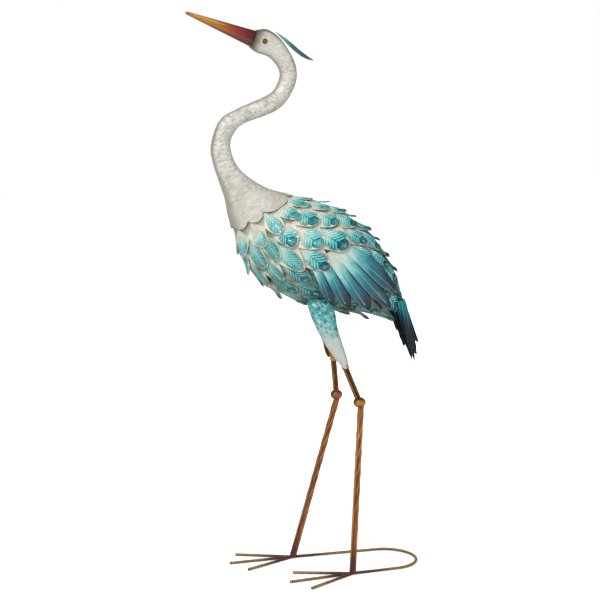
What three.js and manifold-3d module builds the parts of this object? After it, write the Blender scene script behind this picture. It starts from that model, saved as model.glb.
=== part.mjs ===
// Standing crane, a garden statue of painted sheet metal on legs and feet of steel bar.
// Lengths are millimetres. +Z is up, the bird faces -X and its left side faces -Y.
// The origin is under the middle of the whole statue, on the ground.
import * as THREE from 'three';
import { mergeVertices } from 'three/addons/utils/BufferGeometryUtils.js';
import Module from 'manifold-3d';

const wasm = await Module();
wasm.setup();

// Gap left between two pieces that are welded or glued together
const WELD_GAP = 0.3;

// How finely shapes are worked out: spline tension, halvings in a search, and points taken as one
const SPLINE_TENSION = 0.5;
const SEARCH_STEPS = 30;
const SAME_POINT = 1e-3;

// Sections through head, neck and body, from the beak's root to the rump, in side view:
// throat or chest x and z, back x and z, and the half width across
const SECTIONS = [
  [-88.8, 980, -77.2, 1012, 14.5],
  [-76, 971.5, -56, 1012.5, 18.5],
  [-52, 962.5, -30, 993.5, 17.5],
  [-34, 939.5, -4.5, 950.5, 16.5],
  [-37.5, 917, -6.5, 911, 16],
  [-55.5, 897, -37, 871, 15.5],
  [-112.5, 872.5, -99.5, 846.5, 15],
  [-145.5, 852, -119, 830.5, 16.5],
  [-162, 809, -127.5, 807, 18],
  [-159, 776, -118, 775, 20],
  [-149, 745, -96, 751, 25],
  [-138, 712, -59, 729, 34],
  [-131, 677, -20, 718, 45],
  [-120, 641, 18, 708, 55],
  [-109, 605, 55, 698, 62],
  [-82, 567, 84, 685, 67],
  [-45, 538, 110, 668, 68],
  [0, 517, 135, 648, 65],
  [50, 501, 158, 620, 58],
  [100, 491, 177, 592, 48],
  [148, 482, 195, 558, 36],
  [191, 474, 205, 507, 18],
];

// Head and neck
const BODY_START = 9;
const HEAD_SIDES = 16;
const RING_STEP = 0.5;
const HEAD_BACK_SECTION = 4;
const NECK_HEM_SECTION = 12.3;
const NECK_HEM_DROP = 0.75;
const NECK_HEM_NOTCH = 0.35;
const NECK_HEM_SCALLOPS = 8;
const NECK_PLUG_SECTION = 11.4;
const NECK_SHEET = 1.2;

// Beak, a cone with a blunt tip
const BEAK_ROOT = new THREE.Vector3(-83, 0, 996);
const BEAK_TIP = new THREE.Vector3(-207.3, 0, 1041.2);
const BEAK_ROOT_RADIUS = 15.4;
const BEAK_TIP_RADIUS = 2.4;
const BEAK_FLATTENING = 0.84;

// Eyes, domed beads on the cheeks
const EYE_X = -67;
const EYE_Z = 992;
const EYE_RADIUS = 4.8;
const EYE_PROUD = 2.4;
const EYE_SECTION = 1;
const EYE_SIDES = 12;
const EYE_RINGS = 8;

// Crest plume, a flat leaf: upper and lower edge in side view
const CREST_UPPER = [[-42, 1009.2], [-26, 1000], [-9, 987.5], [3, 977.5], [14, 969.5], [31, 958]];
const CREST_LOWER = [[19.5, 960.5], [8, 965.5], [-4, 974], [-15, 983.5], [-26, 994], [-34, 1002.5]];
const CREST_SHEET = 1.5;
const CREST_CURVE_STEPS = 3;

// Feather rows around the body, measured in sections along it
const FIRST_TIP = 13.15;
const ROW_PITCH = 0.97;
const FEATHER_SPAN = 1.55;
const CHEST_DELAY = 0.9;
const DELAY_ROWS = 6;
const FEATHERS_IN_ROW = [12, 12, 12, 12, 12, 12, 12, 8, 6];
const COLUMNS_PER_FEATHER = 4;
const FEATHER_NOTCH = 0.45;
const FEATHER_POINT = 2.2;
const FEATHER_SHEET = 0.8;
const FEATHER_ROOT_LIFT = -5.7;
const FEATHER_RISE = 6;

// Hull of the body, under the feathers
const HULL_LIFT = FEATHER_ROOT_LIFT - FEATHER_SHEET - WELD_GAP;
const HULL_FIRST = 11.8;
const HULL_LAST = 20.5;
const HULL_RINGS = 9;
const HULL_SIDES = 24;

// Room that the thighs leave for the feathered body
const BODY_ROOM_FIRST = 12;
const BODY_ROOM_LAST = 20;
const BODY_ROOM_LIFT = 0.8;

// Wings, a fan of flight feathers: roots and tips in side view, front to rear
const WING_ROOTS = [[5, 591], [17, 600], [30, 609], [44, 617], [60, 622], [76, 627]];
const WING_TIPS = [[44, 517], [78, 508], [122, 501], [172, 500], [196, 518]];
const WING_SHEET = 0.8;
const WING_LIFT = 1.3;
const WING_CLEARANCE = 1.1;
const WING_DRAPE = 0.9;
const WING_HANG = 0.3;
const WING_RIDGE = 1;
const WING_NOTCH = 0.16;
const WING_STEPS = 5;
const WING_FRONT_SWEEP = 8;
const WING_REAR_BULGE = 15;
const WING_REAR_NORMAL = [0.62, 0.78];
const ROW_UNDER_WING = 4;

// Tail, a fluted sheet bent round the rump: finger tips from the middle to the edge
const TAIL_TIPS = [[241, 428], [236, 404], [232, 389], [216, 420], [206, 449]];
const TAIL_TOP_Z = 513;
const TAIL_TOP_X = 185;
const TAIL_TOP_DEPTH = 25;
const TAIL_TOP_HALF_WIDTH = 34;
const TAIL_TIP_HALF_WIDTH = 7;
const TAIL_LENGTH = TAIL_TOP_Z - Math.min(...TAIL_TIPS.map(([, z]) => z));
const TAIL_NOTCH = 14;
const TAIL_FLUTE = 1.2;
const TAIL_SHEET = 1.2;
const TAIL_STEPS = 3;
const COLUMNS_PER_FINGER = 4;

// Thighs, half-round shells open inwards: centre x, y, z, half length along x, and bulge
const THIGH_RINGS = [
  [28, -33, 527, 9, 7],
  [30, -36, 518, 22, 18],
  [37, -39, 496, 23.5, 21],
  [43, -42, 472, 20.5, 19],
  [56, -46, 440, 16.8, 15.5],
  [69, -50.5, 413, 11.5, 11],
  [77, -54, 396, 5.5, 6],
];
const THIGH_SHEET = 1.6;
const RIGHT_THIGH_SET_BACK = 21;
const RIGHT_KNEE_SET_BACK = 7;
const SET_BACK_FROM_Z = 440;
const THIGH_ARC_STEPS = 8;

// Legs of square bar, with a ball at the knee and a tapered sleeve in the thigh
const LEG_BAR = 9.5;
const LEG_TWIST_PITCH = 175;
const LEG_STEPS = 16;
const SLEEVE_TOP = new THREE.Vector3(64, -40, 440);
const SLEEVE_END = new THREE.Vector3(80, -46.5, 392);
const SLEEVE_TOP_RADIUS = 8;
const SLEEVE_END_RADIUS = 6.6;
const SLEEVE_SIDES = 10;
const UPPER_LEG_GAP = 1.3;
const KNEE_LEFT = new THREE.Vector3(102, -60, 331);
const KNEE_RIGHT = new THREE.Vector3(98, 60, 321.5);
const KNEE_RADIUS = 11.6;
const KNEE_HALF_HEIGHT = 9.6;
const KNEE_SIDES = 14;
const KNEE_RINGS = 8;
const SHIN_BEHIND_KNEE = 3;

// Feet and rear hoop of round bar, flat on the ground
const ROD = 6;
const ROD_SIDES = 8;
const ANKLE_LEFT = new THREE.Vector3(89, -63.5, 0);
const ANKLE_RIGHT = new THREE.Vector3(10, 63.5, 0);
const MIDDLE_TOE = 127;
const SIDE_TOE = 113;
const TOE_SPLAY = 24.5;
const LEFT_FOOT_TURN = 4.5;
const RIGHT_FOOT_TURN = 0;
const HOOP_RADIUS = 59;
const HOOP_CENTRE = new THREE.Vector2(179, -1.5);
const HOOP_STEPS = 32;

const PAINT = {
  cream: { color: '#cfcabd', roughness: 0.55, metalness: 0.1 },
  feather: { color: '#58b3b8', roughness: 0.45, metalness: 0.25 },
  wing: { color: '#4b7f95', roughness: 0.4, metalness: 0.3 },
  tail: { color: '#1d5a6c', roughness: 0.4, metalness: 0.3 },
  crest: { color: '#2c6b6e', roughness: 0.4, metalness: 0.2 },
  beak: { color: '#a8622f', roughness: 0.3, metalness: 0.2 },
  eye: { color: '#241a10', roughness: 0.15, metalness: 0 },
  thigh: { color: '#c4d3cf', roughness: 0.5, metalness: 0.15 },
  bronze: { color: '#7d4528', roughness: 0.4, metalness: 0.6 },
  gold: { color: '#a8772d', roughness: 0.45, metalness: 0.6 },
};

const chestLine = new THREE.CatmullRomCurve3(
  SECTIONS.map(([x, z, , , half]) => new THREE.Vector3(x, half, z)), false, 'catmullrom', SPLINE_TENSION);
const backLine = new THREE.CatmullRomCurve3(
  SECTIONS.map(([, , x, z]) => new THREE.Vector3(x, 0, z)), false, 'catmullrom', SPLINE_TENSION);

// Middle, half depth vector and half width of the bird at a section number
function sectionAt(section) {
  const t = section / (SECTIONS.length - 1);
  const chest = chestLine.getPoint(t);
  const back = backLine.getPoint(t);
  const halfWidth = chest.y;
  chest.y = 0;
  const middle = chest.clone().add(back).multiplyScalar(0.5);
  const depth = back.sub(chest).multiplyScalar(0.5);
  return { middle, depth, halfWidth };
}

// A point on the bird: angle 0 is the back, 90 degrees its right side, lift is outwards
function skin(section, angle, lift) {
  const { middle, depth, halfWidth } = sectionAt(section);
  const halfDepth = depth.length();
  const normal = new THREE.Vector2(Math.cos(angle) / halfDepth, Math.sin(angle) / halfWidth).normalize();
  const along = halfDepth * Math.cos(angle) + lift * normal.x;
  const across = halfWidth * Math.sin(angle) + lift * normal.y;
  return middle.addScaledVector(depth, along / halfDepth).setY(across);
}

// The section number and angle at which the bird's side lies at x and z in side view
function findOnSide(x, z) {
  let low = BODY_START;
  let high = SECTIONS.length - 1;
  for (let step = 0; step < SEARCH_STEPS; step += 1) {
    const half = (low + high) / 2;
    const { middle, depth } = sectionAt(half);
    const ahead = depth.x * (z - middle.z) - depth.z * (x - middle.x);
    if (ahead > 0) high = half;
    else low = half;
  }
  const { middle, depth } = sectionAt(low);
  const offset = new THREE.Vector3(x, 0, z).sub(middle);
  const cosine = THREE.MathUtils.clamp(offset.dot(depth) / depth.lengthSq(), -1, 1);
  return { section: low, cosine };
}

function signedVolume(points, faces) {
  let sum = 0;
  for (const [a, b, c] of faces) {
    sum += points[a].dot(new THREE.Vector3().crossVectors(points[b], points[c]));
  }
  return sum / 6;
}

// A closed body from points and triangles, with its faces turned outwards
function body(points, faces) {
  const inwards = signedVolume(points, faces) < 0;
  const geometry = new THREE.BufferGeometry();
  geometry.setFromPoints(points);
  geometry.setIndex(faces.flatMap(([a, b, c]) => (inwards ? [a, c, b] : [a, b, c])));
  return geometry;
}

function quad(faces, a, b, c, d) {
  faces.push([a, b, c], [a, c, d]);
}

function centreOf(points) {
  const sum = new THREE.Vector3();
  points.forEach((point) => sum.add(point));
  return sum.divideScalar(points.length);
}

// A solid through a list of rings, closed at both ends
function loft(rings) {
  const sides = rings[0].length;
  const points = rings.flat();
  const faces = [];
  for (let ring = 0; ring + 1 < rings.length; ring += 1) {
    for (let side = 0; side < sides; side += 1) {
      const next = (side + 1) % sides;
      const from = ring * sides;
      quad(faces, from + side, from + next, from + sides + next, from + sides + side);
    }
  }
  const first = points.push(centreOf(rings[0])) - 1;
  const last = points.push(centreOf(rings[rings.length - 1])) - 1;
  const end = (rings.length - 1) * sides;
  for (let side = 0; side < sides; side += 1) {
    const next = (side + 1) % sides;
    faces.push([first, next, side], [last, end + side, end + next]);
  }
  return body(points, faces);
}

// A thin plate between an outer and an inner grid of points, with its edges closed.
// Both faces are split along the same diagonals, so that a bent plate keeps its thickness.
function plate(outer, inner, wraps) {
  const rows = outer.length;
  const columns = outer[0].length;
  const points = [...outer.flat(), ...inner.flat()];
  const inside = rows * columns;
  const at = (row, column) => row * columns + (column % columns);
  const faces = [];
  for (let row = 0; row + 1 < rows; row += 1) {
    for (let column = 0; column < (wraps ? columns : columns - 1); column += 1) {
      const [a, b] = [at(row, column), at(row, column + 1)];
      const [c, d] = [at(row + 1, column + 1), at(row + 1, column)];
      quad(faces, a, b, c, d);
      quad(faces, c + inside, b + inside, a + inside, d + inside);
    }
  }
  for (let column = 0; column < (wraps ? columns : columns - 1); column += 1) {
    const [a, b] = [at(0, column), at(0, column + 1)];
    const [c, d] = [at(rows - 1, column), at(rows - 1, column + 1)];
    quad(faces, b, a, a + inside, b + inside);
    quad(faces, c, d, d + inside, c + inside);
  }
  for (let row = 0; row + 1 < rows && !wraps; row += 1) {
    const [a, b] = [at(row, 0), at(row + 1, 0)];
    const [c, d] = [at(row, columns - 1), at(row + 1, columns - 1)];
    quad(faces, a, b, b + inside, a + inside);
    quad(faces, d, c, c + inside, d + inside);
  }
  return body(points, faces);
}

function toSolid(geometry) {
  const bare = geometry.clone();
  bare.deleteAttribute('normal');
  bare.deleteAttribute('uv');
  const merged = mergeVertices(bare, SAME_POINT);
  const vertProperties = new Float32Array(merged.attributes.position.array);
  const triVerts = new Uint32Array(merged.index.array);
  return new wasm.Manifold(new wasm.Mesh({ numProp: 3, vertProperties, triVerts }));
}

function toGeometry(solid) {
  const { vertProperties, triVerts } = solid.getMesh();
  const geometry = new THREE.BufferGeometry();
  geometry.setAttribute('position', new THREE.BufferAttribute(vertProperties, 3));
  geometry.setIndex(new THREE.BufferAttribute(triVerts, 1));
  return geometry;
}

// A piece with the room of its neighbours taken out of it
function trimmed(geometry, ...neighbours) {
  const solid = neighbours.reduce((left, other) => left.subtract(toSolid(other)), toSolid(geometry));
  return toGeometry(solid);
}

// Turns a shape that stands along Y so that it runs from one point to another
function laidAlong(geometry, from, to, facing) {
  const direction = to.clone().sub(from).normalize();
  const front = facing.clone().addScaledVector(direction, -facing.dot(direction)).normalize();
  const side = new THREE.Vector3().crossVectors(direction, front);
  const middle = from.clone().add(to).multiplyScalar(0.5);
  return geometry.applyMatrix4(new THREE.Matrix4().makeBasis(side, direction, front).setPosition(middle));
}

const UP = new THREE.Vector3(0, 0, 1);
const AHEAD = new THREE.Vector3(-1, 0, 0);

// A ring of points round the bird at one section
function ringAt(section, sides, lift) {
  return Array.from({ length: sides }, (_, side) => skin(section, (side / sides) * 2 * Math.PI, lift));
}

// The neck's skirt has a scalloped hem that hangs lower on the chest than on the back
function neckHemSection(angle) {
  const drop = (NECK_HEM_DROP * (1 - Math.cos(angle))) / 2;
  const scallop = Math.abs(Math.sin((angle * NECK_HEM_SCALLOPS) / 2));
  return NECK_HEM_SECTION + drop - NECK_HEM_NOTCH * (1 - scallop);
}

function neckSkirt(part, lift) {
  return Array.from({ length: HEAD_SIDES }, (_, side) => {
    const angle = (side / HEAD_SIDES) * 2 * Math.PI;
    const section = THREE.MathUtils.lerp(NECK_PLUG_SECTION, neckHemSection(angle), part);
    return skin(section, angle, lift);
  });
}

function headAndNeck() {
  const rings = [];
  for (let section = 0; section < NECK_PLUG_SECTION - RING_STEP; section += RING_STEP) {
    rings.push(ringAt(section, HEAD_SIDES, 0));
  }
  rings.push(neckSkirt(0, 0), neckSkirt(0.5, 0), neckSkirt(1, 0));
  rings.push(neckSkirt(1, -NECK_SHEET), neckSkirt(0.5, -NECK_SHEET), neckSkirt(0, -NECK_SHEET));
  return loft(rings);
}

// The head with a weld gap round it, for cutting what sits on it
function headRoom() {
  const rings = [];
  for (let section = 0; section < HEAD_BACK_SECTION; section += RING_STEP) {
    rings.push(ringAt(section, HEAD_SIDES, WELD_GAP));
  }
  return loft(rings);
}

function beak() {
  const direction = BEAK_TIP.clone().sub(BEAK_ROOT).normalize();
  const root = BEAK_ROOT.clone().addScaledVector(direction, WELD_GAP);
  const length = root.distanceTo(BEAK_TIP);
  const cone = new THREE.CylinderGeometry(BEAK_TIP_RADIUS, BEAK_ROOT_RADIUS, length, HEAD_SIDES, 1);
  cone.scale(BEAK_FLATTENING, 1, 1);
  return laidAlong(cone, root, BEAK_TIP, UP);
}

function eye(side) {
  const { middle, depth } = sectionAt(EYE_SECTION);
  const offset = new THREE.Vector3(EYE_X, 0, EYE_Z).sub(middle);
  const angle = Math.acos(offset.dot(depth) / depth.lengthSq());
  const seat = skin(EYE_SECTION, side * angle, 0);
  const bead = new THREE.SphereGeometry(EYE_RADIUS, EYE_SIDES, EYE_RINGS);
  bead.scale(1, EYE_PROUD / EYE_RADIUS, 1);
  bead.translate(seat.x, seat.y, seat.z);
  return trimmed(bead, headRoom());
}

function crestPlume() {
  const outline = new THREE.Shape();
  outline.moveTo(...CREST_UPPER[0]);
  outline.splineThru(CREST_UPPER.slice(1).map(([x, z]) => new THREE.Vector2(x, z)));
  outline.splineThru(CREST_LOWER.map(([x, z]) => new THREE.Vector2(x, z)));
  outline.closePath();
  const sheet = { depth: CREST_SHEET, bevelEnabled: false, curveSegments: CREST_CURVE_STEPS };
  const leaf = new THREE.ExtrudeGeometry(outline, sheet);
  leaf.translate(0, 0, -CREST_SHEET / 2);
  leaf.rotateX(Math.PI / 2);
  return trimmed(leaf, headRoom());
}

function bodyHull() {
  const rings = [];
  for (let ring = 0; ring <= HULL_RINGS; ring += 1) {
    const section = THREE.MathUtils.lerp(HULL_FIRST, HULL_LAST, ring / HULL_RINGS);
    rings.push(ringAt(section, HULL_SIDES, HULL_LIFT));
  }
  return loft(rings);
}

// Section number where a row's feathers start: later on the chest than on the back
function rowRoot(row, angle) {
  const delay = CHEST_DELAY * Math.max(0, 1 - row / DELAY_ROWS);
  return FIRST_TIP + row * ROW_PITCH - FEATHER_SPAN + (delay * (1 - Math.cos(angle))) / 2;
}

// How far a row stands off the measured outline, part way along its feathers
function rowLift(part) {
  return FEATHER_ROOT_LIFT + FEATHER_RISE * part;
}

// One closed skirt of overlapping feathers, with a leaf tip at each feather
function featherRow(row) {
  const columns = FEATHERS_IN_ROW[row] * COLUMNS_PER_FEATHER;
  const outer = [];
  const inner = [];
  for (const part of [0, 0.5, 1]) {
    const outerRing = [];
    const innerRing = [];
    for (let column = 0; column < columns; column += 1) {
      const shifted = column + (row % 2 === 0 ? COLUMNS_PER_FEATHER / 2 : 0);
      const fromShaft = Math.abs(((shifted % COLUMNS_PER_FEATHER) / COLUMNS_PER_FEATHER) * 2 - 1);
      const angle = ((column - COLUMNS_PER_FEATHER / 2) / columns) * 2 * Math.PI;
      const reach = part * (1 - FEATHER_NOTCH * fromShaft ** FEATHER_POINT);
      const section = rowRoot(row, angle) + reach * FEATHER_SPAN;
      outerRing.push(skin(section, angle, rowLift(reach)));
      innerRing.push(skin(section, angle, rowLift(reach) - FEATHER_SHEET));
    }
    outer.push(outerRing);
    inner.push(innerRing);
  }
  return plate(outer, inner, true);
}

// A point of the left wing: it lies on the feathers and hangs straight below the widest line.
// hang is 0 at the wing's root, which is tucked under a row of feathers, and 1 where the wing hangs free.
function onWing(x, z, lift, hang) {
  const { section, cosine } = findOnSide(x, z);
  const angle = -Math.acos(cosine);
  const underRow = (section - rowRoot(ROW_UNDER_WING, angle)) / FEATHER_SPAN;
  const base = Math.min(WING_LIFT, rowLift(underRow) + WING_CLEARANCE);
  const point = skin(section, angle, base + lift);
  if (cosine < 0) {
    const { halfWidth } = sectionAt(section);
    const draped = halfWidth * (1 - (1 - WING_DRAPE) * (1 - Math.sqrt(1 - cosine * cosine)));
    point.lerp(new THREE.Vector3(x, -(draped + base + lift), z), hang);
  }
  return point;
}

// Side view place in the fan: across is counted in feathers, part runs from root to tip
function wingFan(across, part) {
  const feather = Math.min(Math.floor(across), WING_TIPS.length - 1);
  const fromShaft = Math.abs((across - feather) * 2 - 1);
  const roots = new THREE.SplineCurve(WING_ROOTS.map(([x, z]) => new THREE.Vector2(x, z)));
  const root = roots.getPoint(across / WING_TIPS.length);
  const tips = WING_TIPS.map(([x, z]) => new THREE.Vector2(x, z));
  const place = THREE.MathUtils.clamp(across - 0.5, 0, WING_TIPS.length - 1);
  const before = Math.min(Math.floor(place), WING_TIPS.length - 2);
  const tip = tips[before].clone().lerp(tips[before + 1], place - before);
  tip.x -= Math.max(0, 1 - 2 * across) * WING_FRONT_SWEEP;
  const reach = part * (1 - WING_NOTCH * fromShaft ** 2);
  const bulge = WING_REAR_BULGE * Math.max(0, 1 - 2 * (WING_TIPS.length - across)) * 4 * reach * (1 - reach);
  const flat = root.lerp(tip, reach).add(new THREE.Vector2(...WING_REAR_NORMAL).multiplyScalar(bulge));
  return { flat, fromShaft, reach };
}

function wing(side) {
  const columns = WING_TIPS.length * COLUMNS_PER_FEATHER;
  const outer = [];
  const inner = [];
  for (let step = 0; step <= WING_STEPS; step += 1) {
    const outerRow = [];
    const innerRow = [];
    for (let column = 0; column <= columns; column += 1) {
      const part = step / WING_STEPS;
      const hang = Math.min(1, part / WING_HANG);
      const { flat, fromShaft, reach } = wingFan(column / COLUMNS_PER_FEATHER, part);
      const ridge = WING_RIDGE * (1 - fromShaft) * reach;
      innerRow.push(onWing(flat.x, flat.y, ridge, hang));
      outerRow.push(onWing(flat.x, flat.y, ridge + WING_SHEET, hang));
    }
    outer.push(outerRow);
    inner.push(innerRow);
  }
  return mirrored(plate(outer, inner, false), side);
}

// Pieces are drawn for the left side, where y is negative
function mirrored(geometry, side) {
  if (side < 0) return geometry;
  geometry.scale(1, -1, 1);
  const index = geometry.index.array;
  for (let at = 0; at < index.length; at += 3) [index[at], index[at + 1]] = [index[at + 1], index[at]];
  return geometry;
}

// A point on the tail. Each column runs straight to the line between the finger tips and ends short of it at a notch.
// The tail narrows with height, so its fingers lie side by side whatever their length.
function onTail(place, part, lift) {
  const turn = place * (Math.PI / 2);
  const finger = Math.abs(place) * (TAIL_TIPS.length - 1);
  const before = Math.min(Math.floor(finger), TAIL_TIPS.length - 2);
  const between = finger - before;
  const hem = new THREE.Vector2(...TAIL_TIPS[before]);
  hem.lerp(new THREE.Vector2(...TAIL_TIPS[before + 1]), between);
  const notch = TAIL_NOTCH * (1 - Math.abs(between * 2 - 1));
  const reach = part * (1 - notch / (TAIL_TOP_Z - hem.y));
  const { lerp } = THREE.MathUtils;
  const topX = TAIL_TOP_X + TAIL_TOP_DEPTH * Math.cos(turn);
  const x = lerp(topX, hem.x, reach) + lift * Math.cos(turn);
  const z = lerp(TAIL_TOP_Z, hem.y, reach);
  const halfWidth = lerp(TAIL_TOP_HALF_WIDTH, TAIL_TIP_HALF_WIDTH, (TAIL_TOP_Z - z) / TAIL_LENGTH);
  return new THREE.Vector3(x, (halfWidth + lift) * Math.sin(turn), z);
}

function tail() {
  const columns = (TAIL_TIPS.length - 1) * COLUMNS_PER_FINGER;
  const outer = [];
  const inner = [];
  for (let step = 0; step <= TAIL_STEPS; step += 1) {
    const outerRow = [];
    const innerRow = [];
    for (let column = 0; column <= columns; column += 1) {
      const place = (column / columns) * 2 - 1;
      const flute = column % 2 === 0 ? TAIL_FLUTE : 0;
      outerRow.push(onTail(place, step / TAIL_STEPS, flute + TAIL_SHEET));
      innerRow.push(onTail(place, step / TAIL_STEPS, flute));
    }
    outer.push(outerRow);
    inner.push(innerRow);
  }
  return plate(outer, inner, false);
}

// The right thigh is set further back than the left one, most of all above the knee
function setBack(z, side) {
  if (side < 0) return 0;
  const part = THREE.MathUtils.smoothstep(z, SLEEVE_END.z, SET_BACK_FROM_Z);
  return THREE.MathUtils.lerp(RIGHT_KNEE_SET_BACK, RIGHT_THIGH_SET_BACK, part);
}

function thighShell(side) {
  const arc = ([x, y, z, half, bulge], sheet) => Array.from({ length: THIGH_ARC_STEPS + 1 }, (_, step) => {
    const turn = (step / THIGH_ARC_STEPS) * Math.PI;
    const along = x + setBack(z, side) - (half - sheet) * Math.cos(turn);
    return new THREE.Vector3(along, y - (bulge - sheet) * Math.sin(turn), z);
  });
  const outside = THIGH_RINGS.map((ring) => arc(ring, 0));
  const inside = THIGH_RINGS.map((ring) => arc(ring, THIGH_SHEET));
  const shell = plate(outside, inside, false);
  return trimmed(mirrored(shell, side), bodyRoom(), legSleeve(side, WELD_GAP));
}

function bodyRoom() {
  const rings = [];
  for (let section = BODY_ROOM_FIRST; section <= BODY_ROOM_LAST; section += 1) {
    rings.push(ringAt(section, HULL_SIDES, BODY_ROOM_LIFT));
  }
  return loft(rings);
}

// A point of the left leg, or its twin on the right
function onSide(point, side) {
  return new THREE.Vector3(point.x + setBack(point.z, side), -side * point.y, point.z);
}

function legSleeve(side, room) {
  const top = onSide(SLEEVE_TOP, side);
  const end = onSide(SLEEVE_END, side);
  const length = top.distanceTo(end) + 2 * room;
  const narrow = SLEEVE_END_RADIUS + room;
  const wide = SLEEVE_TOP_RADIUS + room;
  return laidAlong(new THREE.CylinderGeometry(narrow, wide, length, SLEEVE_SIDES, 1), top, end, AHEAD);
}

// Square bar between two points, twisted along its length
function squareBar(from, to, turns, steps) {
  const length = from.distanceTo(to);
  const bar = new THREE.BoxGeometry(LEG_BAR, length, LEG_BAR, 1, steps, 1);
  const place = bar.attributes.position;
  const point = new THREE.Vector3();
  for (let index = 0; index < place.count; index += 1) {
    point.fromBufferAttribute(place, index);
    point.applyAxisAngle(new THREE.Vector3(0, 1, 0), (point.y / length) * turns * 2 * Math.PI);
    place.setXYZ(index, point.x, point.y, point.z);
  }
  return laidAlong(bar, from, to, AHEAD);
}

function upperLeg(knee, side) {
  const top = onSide(SLEEVE_END, side);
  const direction = knee.clone().sub(top).normalize();
  const start = top.clone().addScaledVector(direction, UPPER_LEG_GAP);
  return trimmed(squareBar(start, knee, 0, 1), kneeBall(knee, WELD_GAP));
}

// The shin leaves the knee a little behind the ball's middle and stands on the foot's bars
function lowerLeg(knee, ankle) {
  const lean = ankle.clone().sub(knee).setZ(0).length() / (knee.z - ROD);
  const foot = ankle.clone().setZ(ROD + WELD_GAP + (lean * LEG_BAR) / Math.SQRT2);
  const start = knee.clone().setX(knee.x + SHIN_BEHIND_KNEE);
  const bar = squareBar(start, foot, start.distanceTo(foot) / LEG_TWIST_PITCH, LEG_STEPS);
  return trimmed(bar, kneeBall(knee, WELD_GAP));
}

function kneeBall(knee, room) {
  const ball = new THREE.SphereGeometry(KNEE_RADIUS + room, KNEE_SIDES, KNEE_RINGS);
  ball.rotateX(Math.PI / 2);
  ball.scale(1, 1, KNEE_HALF_HEIGHT / KNEE_RADIUS);
  return ball.translate(knee.x, knee.y, knee.z);
}

// Round bar with flat facets above and below, lying on the ground
function rod(from, to, size) {
  const radius = size / 2 / Math.cos(Math.PI / ROD_SIDES);
  const bar = new THREE.CylinderGeometry(radius, radius, from.distanceTo(to), ROD_SIDES, 1);
  bar.rotateY(Math.PI / ROD_SIDES);
  return laidAlong(bar, from, to, UP);
}

function toeEnds(ankle, degrees, length) {
  const turn = THREE.MathUtils.degToRad(degrees);
  const start = ankle.clone().setZ(ROD / 2);
  const reach = new THREE.Vector3(-Math.cos(turn), Math.sin(turn), 0);
  return { start, end: start.clone().addScaledVector(reach, length), reach };
}

function middleToe(ankle, turn) {
  const { start, end, reach } = toeEnds(ankle, turn, MIDDLE_TOE);
  return rod(start.addScaledVector(reach, WELD_GAP / 2), end, ROD);
}

// A side toe is cut off where it meets the middle toe and the hoop
function sideToe(ankle, turn, splay) {
  const { start, end } = toeEnds(ankle, turn + splay, SIDE_TOE);
  const middle = toeEnds(ankle, turn, MIDDLE_TOE);
  const behind = middle.start.clone().setX(ankle.x + 2 * ROD);
  const hoopRoom = rod(behind, middle.start, ROD + 2 * WELD_GAP);
  const heel = middle.start.clone().addScaledVector(middle.reach, -ROD / 2);
  const toeRoom = rod(heel, middle.end, ROD + 2 * WELD_GAP);
  return trimmed(rod(start, end, ROD), toeRoom, hoopRoom);
}

// From the left ankle back along the ground, round behind the bird, and up to the right ankle
class HoopCurve extends THREE.Curve {
  getPoint(t) {
    const height = ROD / 2;
    const { x, y } = HOOP_CENTRE;
    const left = ANKLE_LEFT.clone().setZ(height).setX(ANKLE_LEFT.x + WELD_GAP / 2);
    const right = ANKLE_RIGHT.clone().setZ(height).setX(ANKLE_RIGHT.x + WELD_GAP / 2);
    const bendStart = new THREE.Vector3(x, y - HOOP_RADIUS, height);
    const bendEnd = new THREE.Vector3(x, y + HOOP_RADIUS, height);
    const leftRun = left.distanceTo(bendStart);
    const bend = Math.PI * HOOP_RADIUS;
    const rightRun = right.distanceTo(bendEnd);
    const travelled = t * (leftRun + bend + rightRun);
    if (travelled < leftRun) return left.lerp(bendStart, travelled / leftRun);
    if (travelled > leftRun + bend) return bendEnd.lerp(right, (travelled - leftRun - bend) / rightRun);
    const turn = (travelled - leftRun) / HOOP_RADIUS;
    return new THREE.Vector3(x + HOOP_RADIUS * Math.sin(turn), y - HOOP_RADIUS * Math.cos(turn), height);
  }
}

function rearHoop() {
  const radius = ROD / 2 / Math.cos(Math.PI / ROD_SIDES);
  const corners = Array.from({ length: ROD_SIDES }, (_, side) => {
    const turn = ((side + 0.5) / ROD_SIDES) * 2 * Math.PI;
    return new THREE.Vector2(radius * Math.cos(turn), radius * Math.sin(turn));
  });
  const path = { steps: HOOP_STEPS, extrudePath: new HoopCurve(), bevelEnabled: false };
  return new THREE.ExtrudeGeometry(new THREE.Shape(corners), path);
}

const statue = new THREE.Group();

function add(name, geometry, paint) {
  const mesh = new THREE.Mesh(geometry, new THREE.MeshStandardMaterial(PAINT[paint]));
  mesh.name = name;
  statue.add(mesh);
}

add('head_and_neck', headAndNeck(), 'cream');
add('beak', beak(), 'beak');
add('crest_plume', crestPlume(), 'crest');
add('body_hull', bodyHull(), 'cream');
FEATHERS_IN_ROW.forEach((_, row) => add(`feather_row_${row + 1}`, featherRow(row), 'feather'));
add('tail', tail(), 'tail');

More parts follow.
